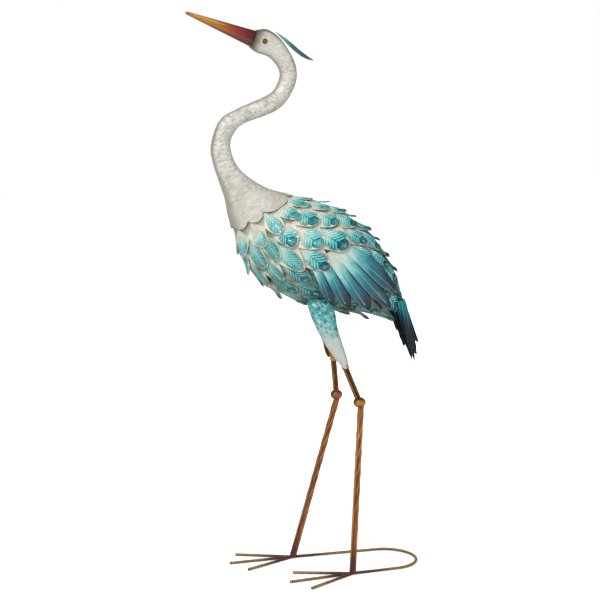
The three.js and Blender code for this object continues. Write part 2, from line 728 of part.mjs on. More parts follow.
const SIDES = [
  { name: 'left', side: -1, knee: KNEE_LEFT, ankle: ANKLE_LEFT, turn: LEFT_FOOT_TURN },
  { name: 'right', side: 1, knee: KNEE_RIGHT, ankle: ANKLE_RIGHT, turn: RIGHT_FOOT_TURN },
];
for (const { name, side, knee, ankle, turn } of SIDES) {
  add(`eye_${name}`, eye(side), 'eye');
  add(`wing_${name}`, wing(side), 'wing');
  add(`thigh_${name}`, thighShell(side), 'thigh');
  add(`leg_sleeve_${name}`, legSleeve(side, 0), 'bronze');
  add(`upper_leg_${name}`, upperLeg(knee, side), 'bronze');
  add(`knee_ball_${name}`, kneeBall(knee, 0), 'bronze');
  add(`lower_leg_${name}`, lowerLeg(knee, ankle), 'bronze');
  add(`toe_middle_${name}`, middleToe(ankle, turn * side), 'gold');
  add(`toe_inner_${name}`, sideToe(ankle, turn * side, -side * TOE_SPLAY), 'gold');
  add(`toe_outer_${name}`, sideToe(ankle, turn * side, side * TOE_SPLAY), 'gold');
}
add('rear_hoop', rearHoop(), 'gold');

// The whole statue is moved so that the middle of its footprint is at the origin
const bounds = new THREE.Box3().setFromObject(statue);
const middle = bounds.getCenter(new THREE.Vector3());
statue.position.set(-middle.x, -middle.y, -bounds.min.z);

export default statue;
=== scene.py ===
# %% [markdown]
# # A painted metal crane for the garden
# The real statue is a welded shell of thin sheet, dressed with rings of stamped feather plates and painted
# by hand. It stands on legs of twisted square bar and on feet of ribbed round bar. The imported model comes
# first: it holds every piece at its real size, and everything below is fitted to it.

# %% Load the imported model
import math

import bpy
import numpy as np
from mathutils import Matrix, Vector


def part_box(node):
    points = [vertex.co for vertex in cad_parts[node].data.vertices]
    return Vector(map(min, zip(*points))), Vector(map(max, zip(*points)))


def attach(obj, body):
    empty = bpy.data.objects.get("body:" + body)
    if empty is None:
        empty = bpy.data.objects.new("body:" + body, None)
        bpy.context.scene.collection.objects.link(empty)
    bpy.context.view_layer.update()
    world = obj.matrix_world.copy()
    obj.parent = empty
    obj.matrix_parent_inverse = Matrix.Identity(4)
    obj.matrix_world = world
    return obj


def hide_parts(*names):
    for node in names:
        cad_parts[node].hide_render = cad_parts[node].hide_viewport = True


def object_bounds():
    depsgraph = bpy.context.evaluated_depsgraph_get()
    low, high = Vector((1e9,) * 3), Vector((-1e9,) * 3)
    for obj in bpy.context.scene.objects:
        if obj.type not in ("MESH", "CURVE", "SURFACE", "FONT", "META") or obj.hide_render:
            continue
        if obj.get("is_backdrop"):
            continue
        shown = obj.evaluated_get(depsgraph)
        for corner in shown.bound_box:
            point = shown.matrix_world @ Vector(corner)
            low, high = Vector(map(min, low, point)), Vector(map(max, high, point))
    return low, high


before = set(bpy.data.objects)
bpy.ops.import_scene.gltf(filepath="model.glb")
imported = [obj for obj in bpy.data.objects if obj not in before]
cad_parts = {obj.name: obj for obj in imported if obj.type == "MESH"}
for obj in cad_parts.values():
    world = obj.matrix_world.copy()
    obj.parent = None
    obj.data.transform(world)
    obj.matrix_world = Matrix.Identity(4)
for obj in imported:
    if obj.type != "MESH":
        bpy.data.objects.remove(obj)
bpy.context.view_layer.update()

# %% [markdown]
# The bird was measured in millimetres, on a drawing that has its zero under the breast. The model has its
# zero under the middle of the whole statue, so one knee ball tells how far the drawing was moved. Nearly
# every piece below is worked out on the drawing, and goes to its place through `to_frame`.

# %% From the drawing to the frame
MM = 0.001
KNEE_LEFT = Vector((102.0, -60.0, 331.0))
KNEE_RIGHT = Vector((98.0, 60.0, 321.5))
knee_low, knee_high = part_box("knee_ball_left")
MOVED = (knee_low + knee_high) / 2 - KNEE_LEFT * MM


def to_frame(points):
    """Drawing points in millimetres, as rows of x, y, z, in the frame's metres."""
    return np.asarray(points, float) * MM + np.array(MOVED)


print("the drawing was moved by", [round(v * 1000, 2) for v in MOVED])

# %% [markdown]
# ## Camera
# The statue was seen from its left side, from a little in front, with a long lens at the height of its
# head. A long lens keeps the feet and the head at one scale. The camera comes first, because every later
# choice is judged through it.

# %% Camera
CAMERA_PLACE = (-811.9, -2575.0, 928.8)
CAMERA_AIM = (5.0, 0.0, 519.0)
FIELD_OF_VIEW = math.radians(23.05)

camera_data = bpy.data.cameras.new("camera")
camera_data.angle = FIELD_OF_VIEW
camera = bpy.data.objects.new("camera", camera_data)
bpy.context.scene.collection.objects.link(camera)
camera.location = Vector(to_frame(CAMERA_PLACE))
camera.rotation_mode = "QUATERNION"
camera.rotation_quaternion = (Vector(to_frame(CAMERA_AIM)) - camera.location).to_track_quat("-Z", "Y")
bpy.context.scene.camera = camera
bpy.context.scene.view_settings.view_transform = "Standard"
print("camera at", [round(v, 3) for v in camera.location])

# %% [markdown]
# ## Paint and nodes
# Every finish is paint on metal: a Principled shader with a little coat over it. The helpers below add and
# link nodes, so that a finish reads like a recipe. A node's output is kept as a `Value`, and each sum with
# it adds a Math node. Colours are written as a screen shows them, from 0 to 255.

# %% Values of nodes
class Value:
    """A node's output, which can be used in sums."""

    def __init__(self, socket):
        self.socket = socket
        self.tree = socket.id_data

    def calc(self, operation, *values):
        return node(self.tree, "ShaderNodeMath", dict(enumerate(values)), operation=operation)

    def __add__(self, other):
        return self.calc("ADD", self, other)

    def __sub__(self, other):
        return self.calc("SUBTRACT", self, other)

    def __rsub__(self, other):
        return self.calc("SUBTRACT", other, self)

    def __mul__(self, other):
        return self.calc("MULTIPLY", self, other)

    def __truediv__(self, other):
        return self.calc("DIVIDE", self, other)

    def __abs__(self):
        return self.calc("ABSOLUTE", self)

    __radd__, __rmul__ = __add__, __mul__


def feed(socket, value):
    """Links an input to a Value, or sets it to a plain value."""
    if isinstance(value, Value):
        value.tree.links.new(value.socket, socket)
    else:
        socket.default_value = value


def node(tree, kind, inputs=None, output=0, **settings):
    """Adds a node and gives one of its outputs as a Value."""
    made = tree.nodes.new(kind)
    for key, value in settings.items():
        setattr(made, key, value)
    for key, value in (inputs or {}).items():
        feed(made.inputs[key], value)
    return Value(made.outputs[output])


def smaller(first, second):
    return first.calc("MINIMUM", first, second)


# %% Colours, masks and patterns
def linear(red, green, blue):
    """A colour read as 0 to 255 on a screen, as the shader's linear colour."""
    scaled = (value / 255 for value in (red, green, blue))
    return tuple(v / 12.92 if v <= 0.04045 else ((v + 0.055) / 1.055) ** 2.4 for v in scaled) + (1.0,)


def between(value, low, high):
    """0 below low, 1 above high, and a soft step between them."""
    limits = {"Value": value, "From Min": low, "From Max": high}
    return node(value.tree, "ShaderNodeMapRange", limits, interpolation_type="SMOOTHSTEP")


def spread(value, low, high, to_low, to_high):
    """The value, moved evenly from one range to another."""
    limits = {"Value": value, "From Min": low, "From Max": high, "To Min": to_low, "To Max": to_high}
    return node(value.tree, "ShaderNodeMapRange", limits)


def covered(first, second, share):
    """One colour or Value with a share of another over it.
    A Mix node repeats its names, so its colour inputs and output are numbered."""
    first, second = (linear(*paint) if isinstance(paint, tuple) else paint for paint in (first, second))
    return node(share.tree, "ShaderNodeMix", {0: share, 6: first, 7: second}, 2, data_type="RGBA")


def ramp(value, *stops):
    """A colour for each value. A stop is a place from 0 to 1 and a screen colour."""
    made = node(value.tree, "ShaderNodeValToRGB", {"Fac": value}, "Color")
    bar = made.socket.node.color_ramp
    while len(bar.elements) < len(stops):
        bar.elements.new(1.0)
    for element, (place, *colour) in zip(bar.elements, stops):
        element.position = place
        element.color = linear(*colour)
    return made


def noise(place, scale, detail, distortion=0.0):
    inputs = {"Vector": place, "Scale": scale, "Detail": detail, "Distortion": distortion}
    return node(place.tree, "ShaderNodeTexNoise", inputs, "Fac")


def point(x, y, z=0.0):
    """A place for a texture, put together from Values."""
    return node(x.tree, "ShaderNodeCombineXYZ", {"X": x, "Y": y, "Z": z})


def axis(place, name):
    return node(place.tree, "ShaderNodeSeparateXYZ", {0: place}, name)


def distance(place, other):
    return node(place.tree, "ShaderNodeVectorMath", {0: place, 1: other}, "Value", operation="DISTANCE")


def kept(tree, name):
    """A number that a piece keeps for each vertex."""
    return node(tree, "ShaderNodeAttribute", None, "Fac", attribute_name=name)


# %% Finishes
def finish(name, roughness, metallic=0.0, coat=0.0, coat_roughness=0.1, specular=0.5):
    """A new material, its tree, its shader and the place on the object for its patterns."""
    material = bpy.data.materials.new(name)
    material.use_nodes = True
    tree = material.node_tree
    shader = next(n for n in tree.nodes if n.type == "BSDF_PRINCIPLED")
    for socket, value in (("Roughness", roughness), ("Metallic", metallic), ("Specular IOR Level", specular),
                          ("Coat Weight", coat), ("Coat Roughness", coat_roughness)):
        shader.inputs[socket].default_value = value
    print("finish:", name)
    return material, tree, shader, node(tree, "ShaderNodeTexCoord", None, "Object")


def link(value, shader, socket):
    feed(shader.inputs[socket], value)


def bumped(shader, height, strength, depth):
    """Lets a height show in the way the shader catches the light."""
    bump = {"Height": height, "Strength": strength, "Distance": depth}
    link(node(height.tree, "ShaderNodeBump", bump, "Normal"), shader, "Normal")


# %% [markdown]
# Three effects come back in many finishes, so each is a node group. `cloudy` is the uneven tone of paint
# laid on by hand, `rusty_rim` is the brown line that shows where a painted sheet was cut, and `uneven` is
# the slight waviness of a brushed coat, as a height for a Bump node.

# %% Shared effects
def effect(name, output, kind, **inputs):
    """An empty node group, its inputs as Values, and its output."""
    group = bpy.data.node_groups.new(name, "ShaderNodeTree")
    for label, input_kind in inputs.items():
        group.interface.new_socket(name=label, in_out="INPUT", socket_type=input_kind)
    group.interface.new_socket(name=output, in_out="OUTPUT", socket_type=kind)
    given = group.nodes.new("NodeGroupInput").outputs
    result = group.nodes.new("NodeGroupOutput").inputs[output]
    return group, {label: Value(given[label]) for label in inputs}, result


NUMBER, COLOUR, PLACE = "NodeSocketFloat", "NodeSocketColor", "NodeSocketVector"

cloudy, given, result = effect("cloudy", "Colour", COLOUR,
                               Place=PLACE, Scale=NUMBER, First=COLOUR, Second=COLOUR)
clouds = noise(given["Place"], given["Scale"], 4.0)
feed(result, covered(given["First"], given["Second"], between(clouds, 0.36, 0.64)))

rusty_rim, given, result = effect("rusty_rim", "Colour", COLOUR, Place=PLACE, Paint=COLOUR, Rim=NUMBER)
grain = noise(given["Place"], 75.0, 3.0)
rust = ramp(grain, (0.38, 120, 84, 52), (0.6, 66, 46, 34))
feed(result, covered(given["Paint"], rust, between(given["Rim"] + grain * 1.6, 1.4, 1.65)))

uneven, given, result = effect("uneven", "Height", NUMBER, Place=PLACE, Scale=NUMBER)
feed(result, noise(given["Place"], given["Scale"], 3.0))
print("shared effects:", cloudy.name, rusty_rim.name, uneven.name)


def clouded(place, scale, first, second):
    """Two screen colours, mixed like clouds."""
    inputs = {"Place": place, "Scale": scale, "First": linear(*first), "Second": linear(*second)}
    return node(place.tree, "ShaderNodeGroup", inputs, node_tree=cloudy)


def rimmed(place, paint, rim):
    """A paint with a broken line of rust on the cut edge."""
    inputs = {"Place": place, "Paint": paint, "Rim": rim}
    return node(place.tree, "ShaderNodeGroup", inputs, node_tree=rusty_rim)


def brushed(shader, place, scale, strength, depth):
    """A brushed coat's waviness on a shader's normal."""
    height = node(place.tree, "ShaderNodeGroup", {"Place": place, "Scale": scale}, node_tree=uneven)
    bumped(shader, height, strength, depth)


# %% [markdown]
# ## Floor, sky and lamps
# The statue was shot on white. The floor is plain card. To the camera it glows a little, more so further
# off, so that it runs into the white background without a line, and only the shadows close to the feet are
# left of it.

# %% Floor
FLOOR_HALF = 9.0
GLOW_STARTS = 0.3
GLOW_IS_FULL = 1.6
FLOOR_GLOW_NEAR = 0.5
FLOOR_GLOW_FAR = 0.9
WHITE = (1, 1, 1, 1)


def deselect():
    """Leaves edit mode and lets go of everything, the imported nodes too."""
    if bpy.context.mode != "OBJECT":
        bpy.ops.object.mode_set(mode="OBJECT")
    bpy.ops.object.select_all(action="DESELECT")


deselect()
bpy.ops.mesh.primitive_plane_add(size=2 * FLOOR_HALF, location=(0, 0, 0))
floor = bpy.context.object
floor.name = "floor"
floor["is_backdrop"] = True

floor_paint, tree, shader, place = finish("floor_paint", 0.8)
link(clouded(place, 1.5, (244, 244, 243), (240, 240, 239)), shader, "Base Color")
glow = spread(distance(place, (0, 0, 0)), GLOW_STARTS, GLOW_IS_FULL, FLOOR_GLOW_NEAR, FLOOR_GLOW_FAR)
seen_by_camera = node(tree, "ShaderNodeLightPath", None, "Is Camera Ray")
link(WHITE, shader, "Emission Color")
link(glow * seen_by_camera, shader, "Emission Strength")
floor.data.materials.append(floor_paint)
print("the floor is", 2 * FLOOR_HALF, "m wide")

# %% [markdown]
# The camera sees a white sky. What lights the statue is a weaker one, brighter on the camera's side than
# behind the statue, and the darker part draws a dark line along the edges of painted metal. Glossy paint
# mirrors only a part of this sky, so that the deep teal stays deep. The lamps are large and soft: a key, a
# fill and a weak one for the far side.

# %% Sky and lamps
SKY_FRONT = 0.62
SKY_BACK = 0.24
SKY_IN_GLOSS = 0.3
LAMP_AIM = (0, 0, 0.6)
LAMPS = {
    "key_lamp": ((-2.0, -1.9, 2.9), 1.0, 82.0),
    "fill_lamp": ((2.2, -2.2, 1.0), 1.6, 16.0),
    "far_side_lamp": ((0.6, 3.2, 1.5), 1.6, 22.0),
}

world = bpy.data.worlds.new("studio")
bpy.context.scene.world = world
world.use_nodes = True
sky = world.node_tree
sky.nodes.clear()
direction = node(sky, "ShaderNodeTexCoord", None, "Generated")
both = {0: direction, 1: camera.location.normalized()}
in_front = node(sky, "ShaderNodeVectorMath", both, "Value", operation="DOT_PRODUCT")
in_gloss = node(sky, "ShaderNodeLightPath", None, "Is Glossy Ray")
strength = spread(in_front, -1.0, 1.0, SKY_BACK, SKY_FRONT) * spread(in_gloss, 0.0, 1.0, 1.0, SKY_IN_GLOSS)
lighting = node(sky, "ShaderNodeBackground", {"Color": WHITE, "Strength": strength})
seen = node(sky, "ShaderNodeBackground", {"Color": WHITE})
seen_by_camera = node(sky, "ShaderNodeLightPath", None, "Is Camera Ray")
either = node(sky, "ShaderNodeMixShader", {"Fac": seen_by_camera, 1: lighting, 2: seen})
feed(sky.nodes.new("ShaderNodeOutputWorld").inputs["Surface"], either)

for name, (place, size, power) in LAMPS.items():
    lamp_data = bpy.data.lights.new(name, "AREA")
    lamp_data.shape = "DISK"
    lamp_data.size = size
    lamp_data.energy = power
    lamp = bpy.data.objects.new(name, lamp_data)
    lamp.location = place
    lamp.rotation_mode = "QUATERNION"
    lamp.rotation_quaternion = (Vector(LAMP_AIM) - lamp.location).to_track_quat("-Z", "Y")
    bpy.context.scene.collection.objects.link(lamp)
print("lamps:", ", ".join(LAMPS))

# %% [markdown]
# ## Helpers for sheet metal
# Most of the bird is thin sheet that was stamped flat and then bent. The same happens here: a flat grid is
# added, its vertices are moved to their bent places, and a Solidify modifier gives the sheet its thickness.
# Working from a flat grid keeps a place across and a place along for every vertex, which the paint uses
# later.

# %% Flat grids and bent sheets
def flat_grid(name, columns, rows):
    """A grid of quads over a unit square, and each vertex's place across and along it, from 0 to 1."""
    deselect()
    bpy.ops.mesh.primitive_grid_add(x_subdivisions=columns, y_subdivisions=rows, size=1, location=(0, 0, 0))
    sheet = bpy.context.object
    sheet.name = name
    sheet.data.name = name
    places = vertices_of(sheet)[:, :2] + 0.5
    return sheet, places[:, 0], places[:, 1]


def vertices_of(piece):
    """The places of a piece's vertices, as rows."""
    flat = np.empty(len(piece.data.vertices) * 3)
    piece.data.vertices.foreach_get("co", flat)
    return flat.reshape(-1, 3)


def set_vertices(piece, points):
    piece.data.vertices.foreach_set("co", np.ascontiguousarray(points, float).ravel())
    piece.data.update()


def mark(piece, **marks):
    """Keeps numbers for each vertex, for the paint to read."""
    for name, values in marks.items():
        layer = piece.data.attributes.new(name, "FLOAT", "POINT")
        numbers = np.broadcast_to(np.asarray(values, np.float32), (len(piece.data.vertices),))
        layer.data.foreach_set("value", np.ascontiguousarray(numbers))


def choose(*pieces):
    """Selects these pieces alone, and makes the first one active."""
    deselect()
    for piece in pieces:
        piece.select_set(True)
    bpy.context.view_layer.objects.active = pieces[0]


# %% Edit mode and modifiers
def edit(piece, select="SELECT"):
    """Goes into edit mode on one piece, with all or none of it selected."""
    choose(piece)
    bpy.ops.object.mode_set(mode="EDIT")
    bpy.ops.mesh.select_all(action=select)


def leave_edit():
    bpy.ops.object.mode_set(mode="OBJECT")


def turn_outwards(piece, inside):
    """Flips a sheet whose faces look at the point or points inside it."""
    mesh = piece.data
    centres = np.empty(len(mesh.polygons) * 3)
    normals = np.empty(len(mesh.polygons) * 3)
    mesh.polygons.foreach_get("center", centres)
    mesh.polygons.foreach_get("normal", normals)
    away = (centres.reshape(-1, 3) - np.asarray(inside)) * normals.reshape(-1, 3)
    if away.sum() < 0:
        edit(piece)
        bpy.ops.mesh.flip_normals()
        leave_edit()


def apply_modifier(piece, kind, **settings):
    choose(piece)
    modifier = piece.modifiers.new(kind.lower(), kind)
    for key, value in settings.items():
        setattr(modifier, key, value)
    bpy.ops.object.modifier_apply(modifier=modifier.name)


def thicken(piece, sheet, **settings):
    """Gives a bent sheet its thickness, in millimetres, on its inner side."""
    apply_modifier(piece, "SOLIDIFY", thickness=sheet * MM, offset=-1, use_even_offset=False, **settings)


# %% Seams, ends and dressing
def weld_seams(piece, distance=0.02):
    """Merges vertices nearer than the distance in millimetres, such as those along a seam."""
    edit(piece)
    bpy.ops.mesh.remove_doubles(threshold=distance * MM)
    leave_edit()


def close_ends(piece):
    """Fills the open ends of a tube, and turns all its faces outwards."""
    edit(piece, "DESELECT")
    bpy.ops.mesh.select_mode(type="EDGE")
    bpy.ops.mesh.select_non_manifold(extend=False, use_wire=False, use_multi_face=False,
                                     use_non_contiguous=False, use_verts=False)
    bpy.ops.mesh.fill()
    bpy.ops.mesh.select_all(action="SELECT")
    bpy.ops.mesh.normals_make_consistent(inside=False)
    bpy.ops.mesh.select_mode(type="VERT")
    leave_edit()


def join(pieces, name):
    """Makes one named piece of several."""
    choose(*pieces)
    bpy.ops.object.join()
    pieces[0].name = name
    pieces[0].data.name = name
    return pieces[0]


def close_tube(piece, points, angle, **marks):
    """Rolls a flat grid to its drawing points, keeps its marks, and closes its seam and its ends."""
    set_vertices(piece, to_frame(points))
    mark(piece, **marks)
    weld_seams(piece)
    close_ends(piece)
    shade(piece, angle)


def rolled(centre, radius, turn, first, second):
    """Points round a line. The first direction is where the turn is 0, and the second a quarter turn on."""
    return centre + (radius * np.cos(turn))[:, None] * first + (radius * np.sin(turn))[:, None] * second


def shade(piece, angle):
    """Smooth shading, but for edges sharper than the angle in degrees."""
    choose(piece)
    bpy.ops.object.shade_smooth_by_angle(angle=math.radians(angle))


def dress(piece, paint, slot, *nodes):
    """Paints a finished piece, hides the nodes it stands for and lets it ride on the one body."""
    if paint:
        piece.data.materials.clear()
        piece.data.materials.append(paint)
    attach(piece, "root")
    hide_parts(*nodes)
    triangles = sum(len(face.vertices) - 2 for face in piece.data.polygons)
    print(f"{piece.name}: {triangles} triangles")


# %% [markdown]
# ## The bird's form
# The model was drawn from sections through head, neck and body: where the chest and the back lie in side
# view, and how wide the bird is there. The same sections are used here, but with a curve through them
# instead of facets.

# %% Sections of the bird
# throat or chest x and z, back x and z, half width
SECTIONS = np.array([
    [-88.8, 980, -77.2, 1012, 14.5],
    [-76, 971.5, -56, 1012.5, 18.5],
    [-52, 962.5, -30, 993.5, 17.5],
    [-34, 939.5, -4.5, 950.5, 16.5],
    [-37.5, 917, -6.5, 911, 16],
    [-55.5, 897, -37, 871, 15.5],
    [-112.5, 872.5, -99.5, 846.5, 15],
    [-145.5, 852, -119, 830.5, 16.5],
    [-162, 809, -127.5, 807, 18],
    [-159, 776, -118, 775, 20],
    [-149, 745, -96, 751, 25],
    [-138, 712, -59, 729, 34],
    [-131, 677, -20, 718, 45],
    [-120, 641, 18, 708, 55],
    [-109, 605, 55, 698, 62],
    [-82, 567, 84, 685, 67],
    [-45, 538, 110, 668, 68],
    [0, 517, 135, 648, 65],
    [50, 501, 158, 620, 58],
    [100, 491, 177, 592, 48],
    [148, 482, 195, 558, 36],
    [191, 474, 205, 507, 18],
])
BODY_START = 9


def spline(points, place):
    """A smooth curve through rows of numbers, read at places that count the rows from 0."""
    points = np.asarray(points, float)
    last = len(points) - 1
    place = np.clip(np.asarray(place, float), 0, last)
    start = np.minimum(place.astype(int), last - 1)
    t = (place - start)[..., None]
    padded = np.vstack([2 * points[0] - points[1], points, 2 * points[-1] - points[-2]])
    before, here, there, after = (padded[start + step] for step in range(4))
    leave, arrive = (there - before) / 2, (after - here) / 2
    bend = -3 * here + 3 * there - 2 * leave - arrive
    twist = 2 * here - 2 * there + leave + arrive
    return here + leave * t + bend * t ** 2 + twist * t ** 3


def section_at(section):
    """Middle and half depth, each as x and z in side view, and the half width, at a section number."""
    row = spline(SECTIONS, section)
    chest, back = row[..., 0:2], row[..., 2:4]
    return (chest + back) / 2, (back - chest) / 2, row[..., 4]


def skin(section, angle, lift):
    """Drawing points on the bird. Angle 0 is the back, a quarter turn its right side, and lift is
    outwards."""
    middle, depth, half_width = section_at(section)
    half_depth = np.hypot(depth[..., 0], depth[..., 1])
    along, across = np.cos(angle) / half_depth, np.sin(angle) / half_width
    size = np.hypot(along, across)
    out_along = (half_depth * np.cos(angle) + lift * along / size) / half_depth
    out_across = half_width * np.sin(angle) + lift * across / size
    side_view = middle + depth * out_along[..., None]
    return np.stack([side_view[..., 0], out_across, side_view[..., 1]], axis=-1)


def find_on_side(x, z):
    """Where a place in side view lies on the bird: its section number and the cosine of its angle."""
    low = np.full(np.shape(x), float(BODY_START))
    high = np.full(np.shape(x), float(len(SECTIONS) - 1))
    for _ in range(30):
        half = (low + high) / 2
        middle, depth, _ = section_at(half)
        ahead = depth[..., 0] * (z - middle[..., 1]) - depth[..., 1] * (x - middle[..., 0])
        high = np.where(ahead > 0, half, high)
        low = np.where(ahead > 0, low, half)
    middle, depth, _ = section_at(low)
    offset = (x - middle[..., 0]) * depth[..., 0] + (z - middle[..., 1]) * depth[..., 1]
    return low, np.clip(offset / (depth ** 2).sum(axis=-1), -1, 1)


def smooth_step(low, high, value):
    """0 at low, 1 at high, and a soft step between them. Low may be the greater."""
    part = np.clip((value - low) / (high - low), 0, 1)
    return part * part * (3 - 2 * part)


INSIDE = to_frame([40.0, 0.0, 590.0])
print("half width at the wings:", round(float(section_at(16.0)[2]), 1), "mm")

# %% [markdown]
# ## Head and neck
# The head and neck are one welded shell, sprayed off-white and touched with faint grey dabs. Its lower end
# flares into a skirt with a scalloped hem, cut with shears, that lies over the first feathers. A grid is
# rolled round the sections, from the head down to the hem and back up inside it for the sheet's edge.

# %% Head and neck
HEAD_SIDES = 96
NECK_PLUG = 11.4
HEM_SECTION = 12.25
HEM_DROP = 0.5
HEM_NOTCH = 0.5
HEM_SCALLOPS = 8
NECK_SHEET = 1.2
OUTER_RINGS = 230
INNER_RINGS = 6
HEM_LIFT = 0.9
HEM_LIFTS_OVER = 0.5
HEM_RIM = 0.04
NECK_SECTION_LENGTH = 36.0


def hem_section(angle):
    """The section number where the hem lies: lower on the chest, with scallops of uneven width and depth."""
    drop = HEM_DROP * (1 - np.cos(angle)) / 2
    cut = np.abs(np.sin(angle * HEM_SCALLOPS / 2 + 0.7 * np.sin(angle * 3))) ** 0.6
    return HEM_SECTION + drop - HEM_NOTCH * (1 - cut) * (0.75 + 0.25 * np.cos(angle * 5 + 1))


head, across, along = flat_grid("head_and_neck_shell", HEAD_SIDES, OUTER_RINGS + INNER_RINGS)
angle = across * 2 * math.pi
turn_back = OUTER_RINGS / (OUTER_RINGS + INNER_RINGS)
down = np.clip(along / turn_back, 0, 1)
inside = np.clip((along - turn_back) / (1 - turn_back), 0, 1)
section = np.where(inside > 0, hem_section(angle) + (NECK_PLUG - hem_section(angle)) * inside,
                   down * hem_section(angle))
from_hem = hem_section(angle) - section
lift = -NECK_SHEET * (inside > 0) + HEM_LIFT * smooth_step(HEM_LIFTS_OVER, 0.0, from_hem) * (inside == 0)
_, depth, half_width = section_at(section)
girth = (np.hypot(depth[:, 0], depth[:, 1]) + half_width) / 2
close_tube(head, skin(section, angle, lift), 60,
           section=section, turn=np.cos(angle), around=angle * girth, down=section * NECK_SECTION_LENGTH,
           rim=smooth_step(HEM_RIM, 0.0, from_hem) * (section > NECK_PLUG))

# %% [markdown]
# The paint of the neck is off-white. Short grey strokes across the neck suggest small feathers. They come
# from a noise that reads how far a place is round and down the neck, so that they keep their size where the
# neck widens. The head has painted shade where it meets the beak, and a thin brown line runs down its back.
# A darker wash lies along the weld lines on top and underneath, and it also paints the shade along these
# edges. The eye sits in a small ring of paint, cream in front and orange behind.

# %% Neck paint
EYE_PLACE = (-67.0, -18.2, 992.0)
EYE_RING = 6.0
STROKE_LENGTH = 8.0
STROKE_WIDTH = 5.0
STROKE_TILT = 0.35

neck_paint, tree, shader, place = finish("neck_paint", 0.45, 0.0, 0.12, 0.35)
section = kept(tree, "section")
turned = kept(tree, "turn")
around, down = kept(tree, "around"), kept(tree, "down")
painted = clouded(place, 24.0, (206, 202, 194), (188, 184, 173))
leaning = around - down * STROKE_TILT
stroke_place = point(leaning / STROKE_LENGTH, (down + around * STROKE_TILT) / STROKE_WIDTH)
strokes = noise(stroke_place, 1.0, 1.5, distortion=0.9)
softer = 0.55 - between(section, 8.5, 11.5) * 0.15
stroke_mask = between(strokes, 0.5, 0.66) * between(section, 1.0, 3.0)
painted = covered(painted, (140, 138, 138), stroke_mask * softer)
painted = covered(painted, (222, 221, 214), between(strokes, 0.46, 0.34) * softer)
# Painted shade on the head where it meets the beak.
painted = covered(painted, (78, 70, 60), between(section, 1.3, 0.0) * 0.95)
crown = between(turned, 0.66, 0.9) * between(section, 4.6, 2.6)
painted = covered(painted, (86, 76, 58), crown * 0.85)
seam = between(turned, 0.8, 0.92) * between(section, 8.0, 6.0)
painted = covered(painted, (112, 78, 48), seam * 0.8)
mottled = noise(place, 150.0, 3.0)
skirt = between(section, 10.4, 12.2) * between(mottled, 0.4, 0.62)
painted = covered(painted, (186, 180, 162), skirt * 0.75)
eye_x, _, eye_z = to_frame(EYE_PLACE)
towards_back = axis(place, "X") - eye_x - (axis(place, "Z") - eye_z)
round_eye = covered((196, 188, 168), (226, 158, 84), between(towards_back, -0.004, 0.004))
for side in (-1, 1):
    away = distance(place, to_frame(EYE_PLACE) * (1, -side, 1))
    ring = between(away, EYE_RING * 1.25 * MM, EYE_RING * 0.85 * MM)
    painted = covered(painted, round_eye, ring * 0.85)
painted = rimmed(place, painted, kept(tree, "rim"))
# A darker band along the top and the underside, where the weld lines run; it is also painted shade along
# these edges.
painted = covered(painted, (118, 110, 90), between(abs(turned), 0.76, 0.97) * 0.55)
link(painted, shader, "Base Color")
bumped(shader, strokes, 0.35, 0.0012)
dress(head, neck_paint, "cream_paint", "head_and_neck")

# %% [markdown]
# ## Beak
# The beak is a long cone, a little flattened, with a blunt tip and a line between its two halves. A flat
# grid is rolled round the beak's axis, because one formula then gives the taper, the blunt tip and the
# line.

# %% Beak
BEAK_ROOT = Vector((-83.0, 0.0, 996.0))
BEAK_TIP = Vector((-207.3, 0.0, 1041.2))
BEAK_ROOT_RADIUS = 15.2
BEAK_TIP_RADIUS = 2.4
BEAK_FLATTENING = 0.84
BEAK_BLUNT_END = 0.025
MOUTH_DEPTH = 0.6
MOUTH_WIDTH = 0.012
BEAK_RINGS = 60
BEAK_SIDES = 48

beak_axis = BEAK_TIP - BEAK_ROOT
beak, across, along = flat_grid("beak_cone", BEAK_SIDES, BEAK_RINGS)
turn = across * 2 * math.pi
cone = BEAK_ROOT_RADIUS + (BEAK_TIP_RADIUS - BEAK_ROOT_RADIUS) * along
blunt = np.sqrt(1 - np.clip((along - 1 + BEAK_BLUNT_END) / BEAK_BLUNT_END, 0, 0.98) ** 2)
mouth = MOUTH_DEPTH * np.exp(-((np.abs(np.sin(turn)) - 1) / MOUTH_WIDTH) ** 2)
mouth *= 1 - smooth_step(0.85, 0.97, along)
radius = cone * blunt - mouth
upwards = Vector((0, 1, 0)).cross(beak_axis).normalized()
if upwards.z < 0:
    upwards.negate()
centre = np.array(BEAK_ROOT) + np.outer(along, beak_axis)
points = rolled(centre, radius, turn, np.array(upwards), np.array((0, BEAK_FLATTENING, 0)))
close_tube(beak, points, 50, along=along, top=np.cos(turn))

# %% Beak paint
beak_paint, tree, shader, place = finish("beak_paint", 0.34, 0.15, 0.35, 0.15, specular=0.35)
along_beak = kept(tree, "along")
wobble = noise(place, 60.0, 4.0)
top = kept(tree, "top")
drawn = noise(point(along_beak * 7.0, top * 6.0), 1.0, 4.0)
blend = along_beak + (drawn - 0.5) * 0.3 + (wobble - 0.5) * 0.08
tone = ramp(blend, (0.0, 66, 30, 34), (0.12, 116, 40, 46), (0.26, 142, 50, 52), (0.42, 168, 86, 38),
            (0.54, 178, 112, 30), (0.85, 190, 132, 40), (0.97, 140, 100, 46))
# A painted highlight along the upper side of the beak.
painted_highlight_streak = between(top, 0.2, 0.42) * between(top, 0.66, 0.44) * between(blend, 0.38, 0.6)
tone = covered(tone, (238, 204, 130), painted_highlight_streak * 0.6)
tone = covered(tone, (96, 58, 28), between(drawn, 0.52, 0.62) * 0.4)
# Painted shade along the beak's top and bottom edges.
tone = covered(tone, (56, 36, 24), between(top, 0.6, 0.98) * 0.85)
tone = covered(tone, (72, 40, 24), between(top, -0.4, -0.98) * 0.8)
link(tone, shader, "Base Color")
brushed(shader, place, 220.0, 0.12, 0.001)
dress(beak, beak_paint, "beak_paint", "beak")

